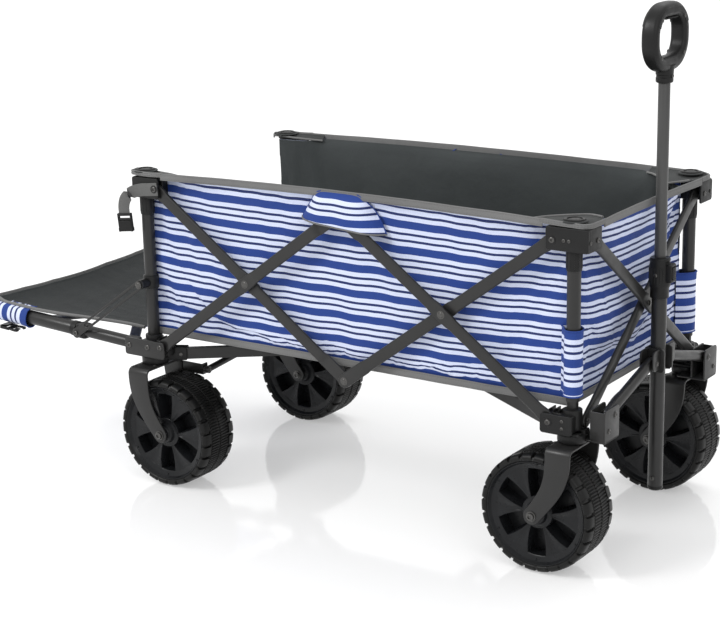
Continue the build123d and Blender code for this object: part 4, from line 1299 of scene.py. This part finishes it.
def tub_floor(s, code):
    """Half of the hinged floor: grey cloth with sewn seams across and along its edge."""
    p = Piece("tub_base_" + code, "tub_floor_" + code, ("tub_floor_" + code,), "grey_cloth")
    xs, ys = steps(-429.0, 411.0, 84), steps(0.8, 198.0, 24)
    if s < 0:
        xs = xs[::-1]
    grid = [[Vector((x, s * y, FLOOR_Z + 0.5 * waves(x, y, 8.0 + s, 70))) for y in ys] for x in xs]
    p.sheet(grid, [[(x, y) for y in ys] for x in xs], 2.2, GREY, GREY)
    for x in (-215.0, 0.0, 205.0):
        line = [Vector((x, s * y, FLOOR_Z + 0.6)) for y in steps(8, 190, 10)]
        stitches(p, line, lambda i: Z)
        stitches(p, [q + X * 6 for q in line], lambda i: Z)
    stitches(p, [Vector((x, s * 188, FLOOR_Z + 0.6)) for x in steps(-420, 400, 30)], lambda i: Z)
    obj = p.done(50)
    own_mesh(obj)
    return obj


# ---- gate cloth, straps ----
def gate_half_width(x):
    return 186.0 + 40.0 * smooth((x - 20.0) / 235.0)


def gate_cloth():
    """Gate panel: darker grey on the loading face as painted shade, striped below, piped along both sides,
    with a lip.
    """
    p = Piece("gate_cloth_panel", "gate_tube_right", ("gate_panel",), "grey_cloth", GATE_PLACE)
    across, outwards = steps(-1.0, 1.0, 62), steps(10.0, 342.0, 46)
    grid, measure = [], []
    for a in across:
        row = []
        for x in outwards:
            sag = 9.0 * (1 - a * a) * sin(pi * min(x / 342.0, 1.0)) + 5.0 * (1 - a * a) * (x / 342.0)
            lift = 6.0 * smooth((x - 322.0) / 20.0)
            drawn_in = 8.0 * (1 - a * a) * smooth((x - 200) / 140)
            crease = 2.2 * folds(x * 1.5, a * 200, 12.0, 60.0) * (1 - a ** 4)
            row.append(Vector((x - drawn_in, a * gate_half_width(x), 17.5 - sag + lift + crease)))
        grid.append(row)
        measure.append([(a * 225.0, x) for x in outwards])
    last, end = len(across) - 1, len(outwards) - 1

    def held(i, j):
        return 1.0 if j <= 1 or j >= end - 1 or i in (0, last) else 0.0
    grid = limited(settle(grid, held, 0.02, GATE_PLACE), grid, Z, 8.0, 13.0)
    for row, a in zip(grid, across):
        for j, x in enumerate(outwards):
            line = max(0.0, 1 - 2.4 * abs(noise.noise(Vector((a * 4.6 + x / 330.0, x / 300.0, 5.0)))))
            row[j] = row[j] + Z * (2.6 * line ** 3 * (1 - a ** 6) * sin(pi * min(x / 345.0, 1.0)))
    # The loading face takes the darker grey with painted shade.
    p.sheet(grid, measure, CLOTH, STRIPE, GATE_SHADED_GREY)
    for side in (grid[0], grid[-1]):
        p.sweep([q + Z * 1.0 for q in side], circle(3.2, 12), TAPE, lengths=True)
    lip = [row[-1] for row in grid]
    binding(p, [q + Z * 6.5 + X * 0.5 for q in lip], lambda i: X, 14.0)
    inner = [row[-1] - Z * 0.5 - X * 1.8 for row in grid]
    p.sweep(inner, soft_box(1.6, 2.8, 1.2, 3), GREY, lengths=True)
    obj = p.done(50)
    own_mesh(obj)
    return obj


def gate_pocket(s, code):
    """Striped loop that holds the outer end of the gate rail."""
    p = Piece("gate_pocket_" + code, "gate_tube_" + code, (), "striped_cloth", GATE_PLACE)
    y = -s * GATE_Y
    out = -s
    route = [Vector((0, y - out * 16, 16.5)), Vector((0, y + out * 2, 17.4)), Vector((0, y + out * 12, 15.0))]
    for i in range(8):
        a = radians(38 - 118 * i / 7)
        route.append(Vector((0, y + out * 18.5 * cos(a), 20.0 * sin(a))))
    route += [Vector((0, y - out * 6, -20.5)), Vector((0, y - out * 16, -15.0))]
    route = along_curve(route, 46)
    if s > 0:
        route = route[::-1]
    xs = steps(258.0, 343.0, 16)
    grid, measure, length = [], [], 0.0
    for i, q in enumerate(route):
        length += (q - route[max(i - 1, 0)]).length
        away = Vector((0, q.y - y, q.z)).normalized()
        scallop = 2.5 * sin(length / 22.0)
        grid.append([q + X * (x - (scallop if x < 270 else 0)) + away * waves(x, length, 13.0, 26)
                     for x in xs])
        measure.append([(length, x + 12.0) for x in xs])
    p.sheet(grid[::-1], measure[::-1], CLOTH, STRIPE, GREY)
    for k in (0, len(xs) - 1):
        p.sweep([row[k] for row in grid], circle(1.2, 8), STRIPE, lengths=True)
    obj = p.done(50)
    return obj


def strap_route(s):
    """Fastening strap: from the bracket's screw backwards, then curling down to the buckle."""
    route = ((-384, 231.4, 545), (-402, 231.8, 543), (-420, 234, 541), (-436, 240, 536), (-447, 244, 525),
             (-452, 244, 510), (-452, 243, 494))
    return along_curve([Vector((x, s * y, z)) for x, y, z in route], 30)


def fastening_strap(s, code):
    """Webbing strap screwed to the rear bracket, with the female half of its buckle."""
    p = Piece("fastening_strap_" + code, "top_r" + code[0], (), "grey_cloth")
    route = strap_route(s)
    stations = []
    for i, here in enumerate(route):
        along = (route[min(i + 1, 29)] - route[max(i - 1, 0)]).normalized()
        turn = smooth((i - 8) / 16)
        wide = (Z * (1 - turn) + Vector((0.94, s * -0.3, 0.1)) * turn).normalized()
        wide = (wide - along * wide.dot(along)).normalized()
        stations.append((here, wide, along.cross(wide), 11.5 - 1.0 * turn, 0.8))
    p.ribbon(stations, WEBBING, 0.5, 2, lengths=True)
    p.screw((-391, s * 232.4, 544.5), (0, s, 0), 5.0, METAL)
    p.rod((-391, s * 231, 544.5), (-391, s * 233, 544.5), 7.0, PLASTIC, 0.5)
    along = (route[-1] - route[-3]).normalized()
    wide = stations[-1][1]
    p.place = Matrix((along, wide, along.cross(wide))).transposed().to_4x4()
    p.place.translation = route[-1] - along * 4
    p.box(0, 5, -13.5, 13.5, -3.5, 3.5, PLASTIC, 1.6)
    p.box(9, 13, -13.5, 13.5, -3.2, 3.2, PLASTIC, 1.4)
    for k in (-1, 1):
        p.box(0, 30, k * 10.2, k * 13.5, -3.4, 3.4, PLASTIC, 1.2)
        p.box(13, 33, -12, 12, k * 1.9, k * 4.2, PLASTIC, 1.0, 3)
        p.box(26, 33.5, k * 9, k * 13.8, -4.4, 4.4, PLASTIC, 1.4)
    p.done()


def gate_catch(s, code):
    """Male half of the side-release buckle on its short strap under the gate's corner."""
    p = Piece("gate_buckle_" + code, "gate_tube_" + code, (), "black_plastic", GATE_PLACE)
    y = -s * GATE_Y
    out = -s
    route = ((296, -16.5), (304, -18), (312, -19.5), (320, -23))
    strap = [((x, y + out * 12.0, z), Y, (0.3, 0, 1), 10.5, 0.8) for x, z in route]
    p.ribbon(strap, WEBBING, 0.5, 2, lengths=True)
    p.box(312, 317, y - out * 1.5, y + out * 24.5, -28, -22, PLASTIC, 1.5)
    p.box(294, 299, y - out * 1.5, y + out * 24.5, -28, -22, PLASTIC, 1.5)
    for k in (-1.5, 21.0):
        p.box(294, 317, y + out * k, y + out * (k + 3.5), -28, -22.5, PLASTIC, 1.2)
    for k, tilt in ((2.0, 1), (21.0, -1)):
        prong = []
        for t in steps(0, 1, 8):
            here = (294 - t * 20, y + out * (k - tilt * 2.5 * sin(pi * t)), -25)
            prong.append((here, Y, Z, 1.9 + 1.6 * smooth(t * 3 - 1.6), 2.2))
        p.ribbon(prong, PLASTIC, 1.0)
    p.box(276, 294, y + out * 10.2, y + out * 13.0, -26.5, -23.5, PLASTIC, 1.0)
    p.done()


# ---- floor, light, camera ----
def studio():
    """Pale glossy floor, even white surroundings and large soft lamps."""
    g = Graph("studio_floor", (0.62, 0.62, 0.62), 0.07, Emission_Color=(1, 1, 1, 1), Emission_Strength=0.36)
    g.into(g.span(g.clouds(3.0), 0.05, 0.09), "Roughness")
    mesh = bpy.data.meshes.new("studio_floor")
    mesh.from_pydata([(-14, -14, 0), (14, -14, 0), (14, 14, 0), (-14, 14, 0)], [], [(0, 1, 2, 3)])
    mesh.materials.append(g.mat)
    floor = bpy.data.objects.new("studio_floor", mesh)
    bpy.context.scene.collection.objects.link(floor)
    world = bpy.data.worlds.new("studio")
    bpy.context.scene.world = world
    world.use_nodes = True
    world.node_tree.nodes["Background"].inputs["Color"].default_value = (1, 1, 1, 1)
    world.node_tree.nodes["Background"].inputs["Strength"].default_value = 1.0
    lamps = (((-1.6, -3.0, 3.2), 1.2, 85.0), ((2.8, -2.0, 2.4), 1.2, 16.0), ((0.3, 1.8, 3.6), 2.4, 30.0))
    for number, (place, size, power) in enumerate(lamps):
        light = bpy.data.lights.new(f"softbox_{number}", "AREA")
        light.energy, light.size = power, size
        lamp = bpy.data.objects.new(f"softbox_{number}", light)
        lamp.location = place
        lamp.rotation_euler = (Vector((0, 0, 0.35)) - lamp.location).to_track_quat("-Z", "Y").to_euler()
        bpy.context.scene.collection.objects.link(lamp)
    bpy.context.scene.view_settings.view_transform = "Standard"


CAMERA_AZIMUTH, CAMERA_ELEVATION, CAMERA_ROLL = 34.267, 15.536, -1.240
CAMERA_DISTANCE, CAMERA_TARGET = 3180.75, Vector((-38.8, -115.3, 333.5))
CAMERA_LENS = 91.9


def camera():
    a, e, r = radians(CAMERA_AZIMUTH), radians(CAMERA_ELEVATION), radians(CAMERA_ROLL)
    back = Vector((sin(a) * cos(e), -cos(a) * cos(e), sin(e)))
    right = Z.cross(back).normalized()
    up = back.cross(right)
    right, up = right * cos(r) + up * sin(r), up * cos(r) - right * sin(r)
    data = bpy.data.cameras.new("camera")
    data.lens, data.sensor_width = CAMERA_LENS, 36.0
    data.clip_end = 60.0
    obj = bpy.data.objects.new("camera", data)
    place = Matrix((right, up, back)).transposed().to_4x4()
    place.translation = in_row(CAMERA_TARGET + back * CAMERA_DISTANCE)
    obj.matrix_world = place
    bpy.context.scene.collection.objects.link(obj)
    bpy.context.scene.camera = obj


# ---- assembly ----
camera()
studio()
for end, side, tag in CORNERS:
    lower_corner(end, side, tag)
    upper_corner(end, side, tag)
    wheel(end, side, tag)
    fork(end, side, tag)
    corner_patch(end, side, tag)
for side, tag in SIDES:
    scissor_side(side, tag)
    front_link(side, tag)
    rear_spreader(side, tag)
    gate_side(side, tag)
    gate_stay(side, tag)
    side_wall(side, tag)
    joint_flap(side, tag)
    post_sleeve(side, tag)
    tub_floor(side, tag)
    gate_pocket(side, tag)
    fastening_strap(side, tag)
    gate_catch(side, tag)
front_cross()
gate_cross()
saddle()
pull_handle()
carried_nodes()
front_wall()
gate_cloth()
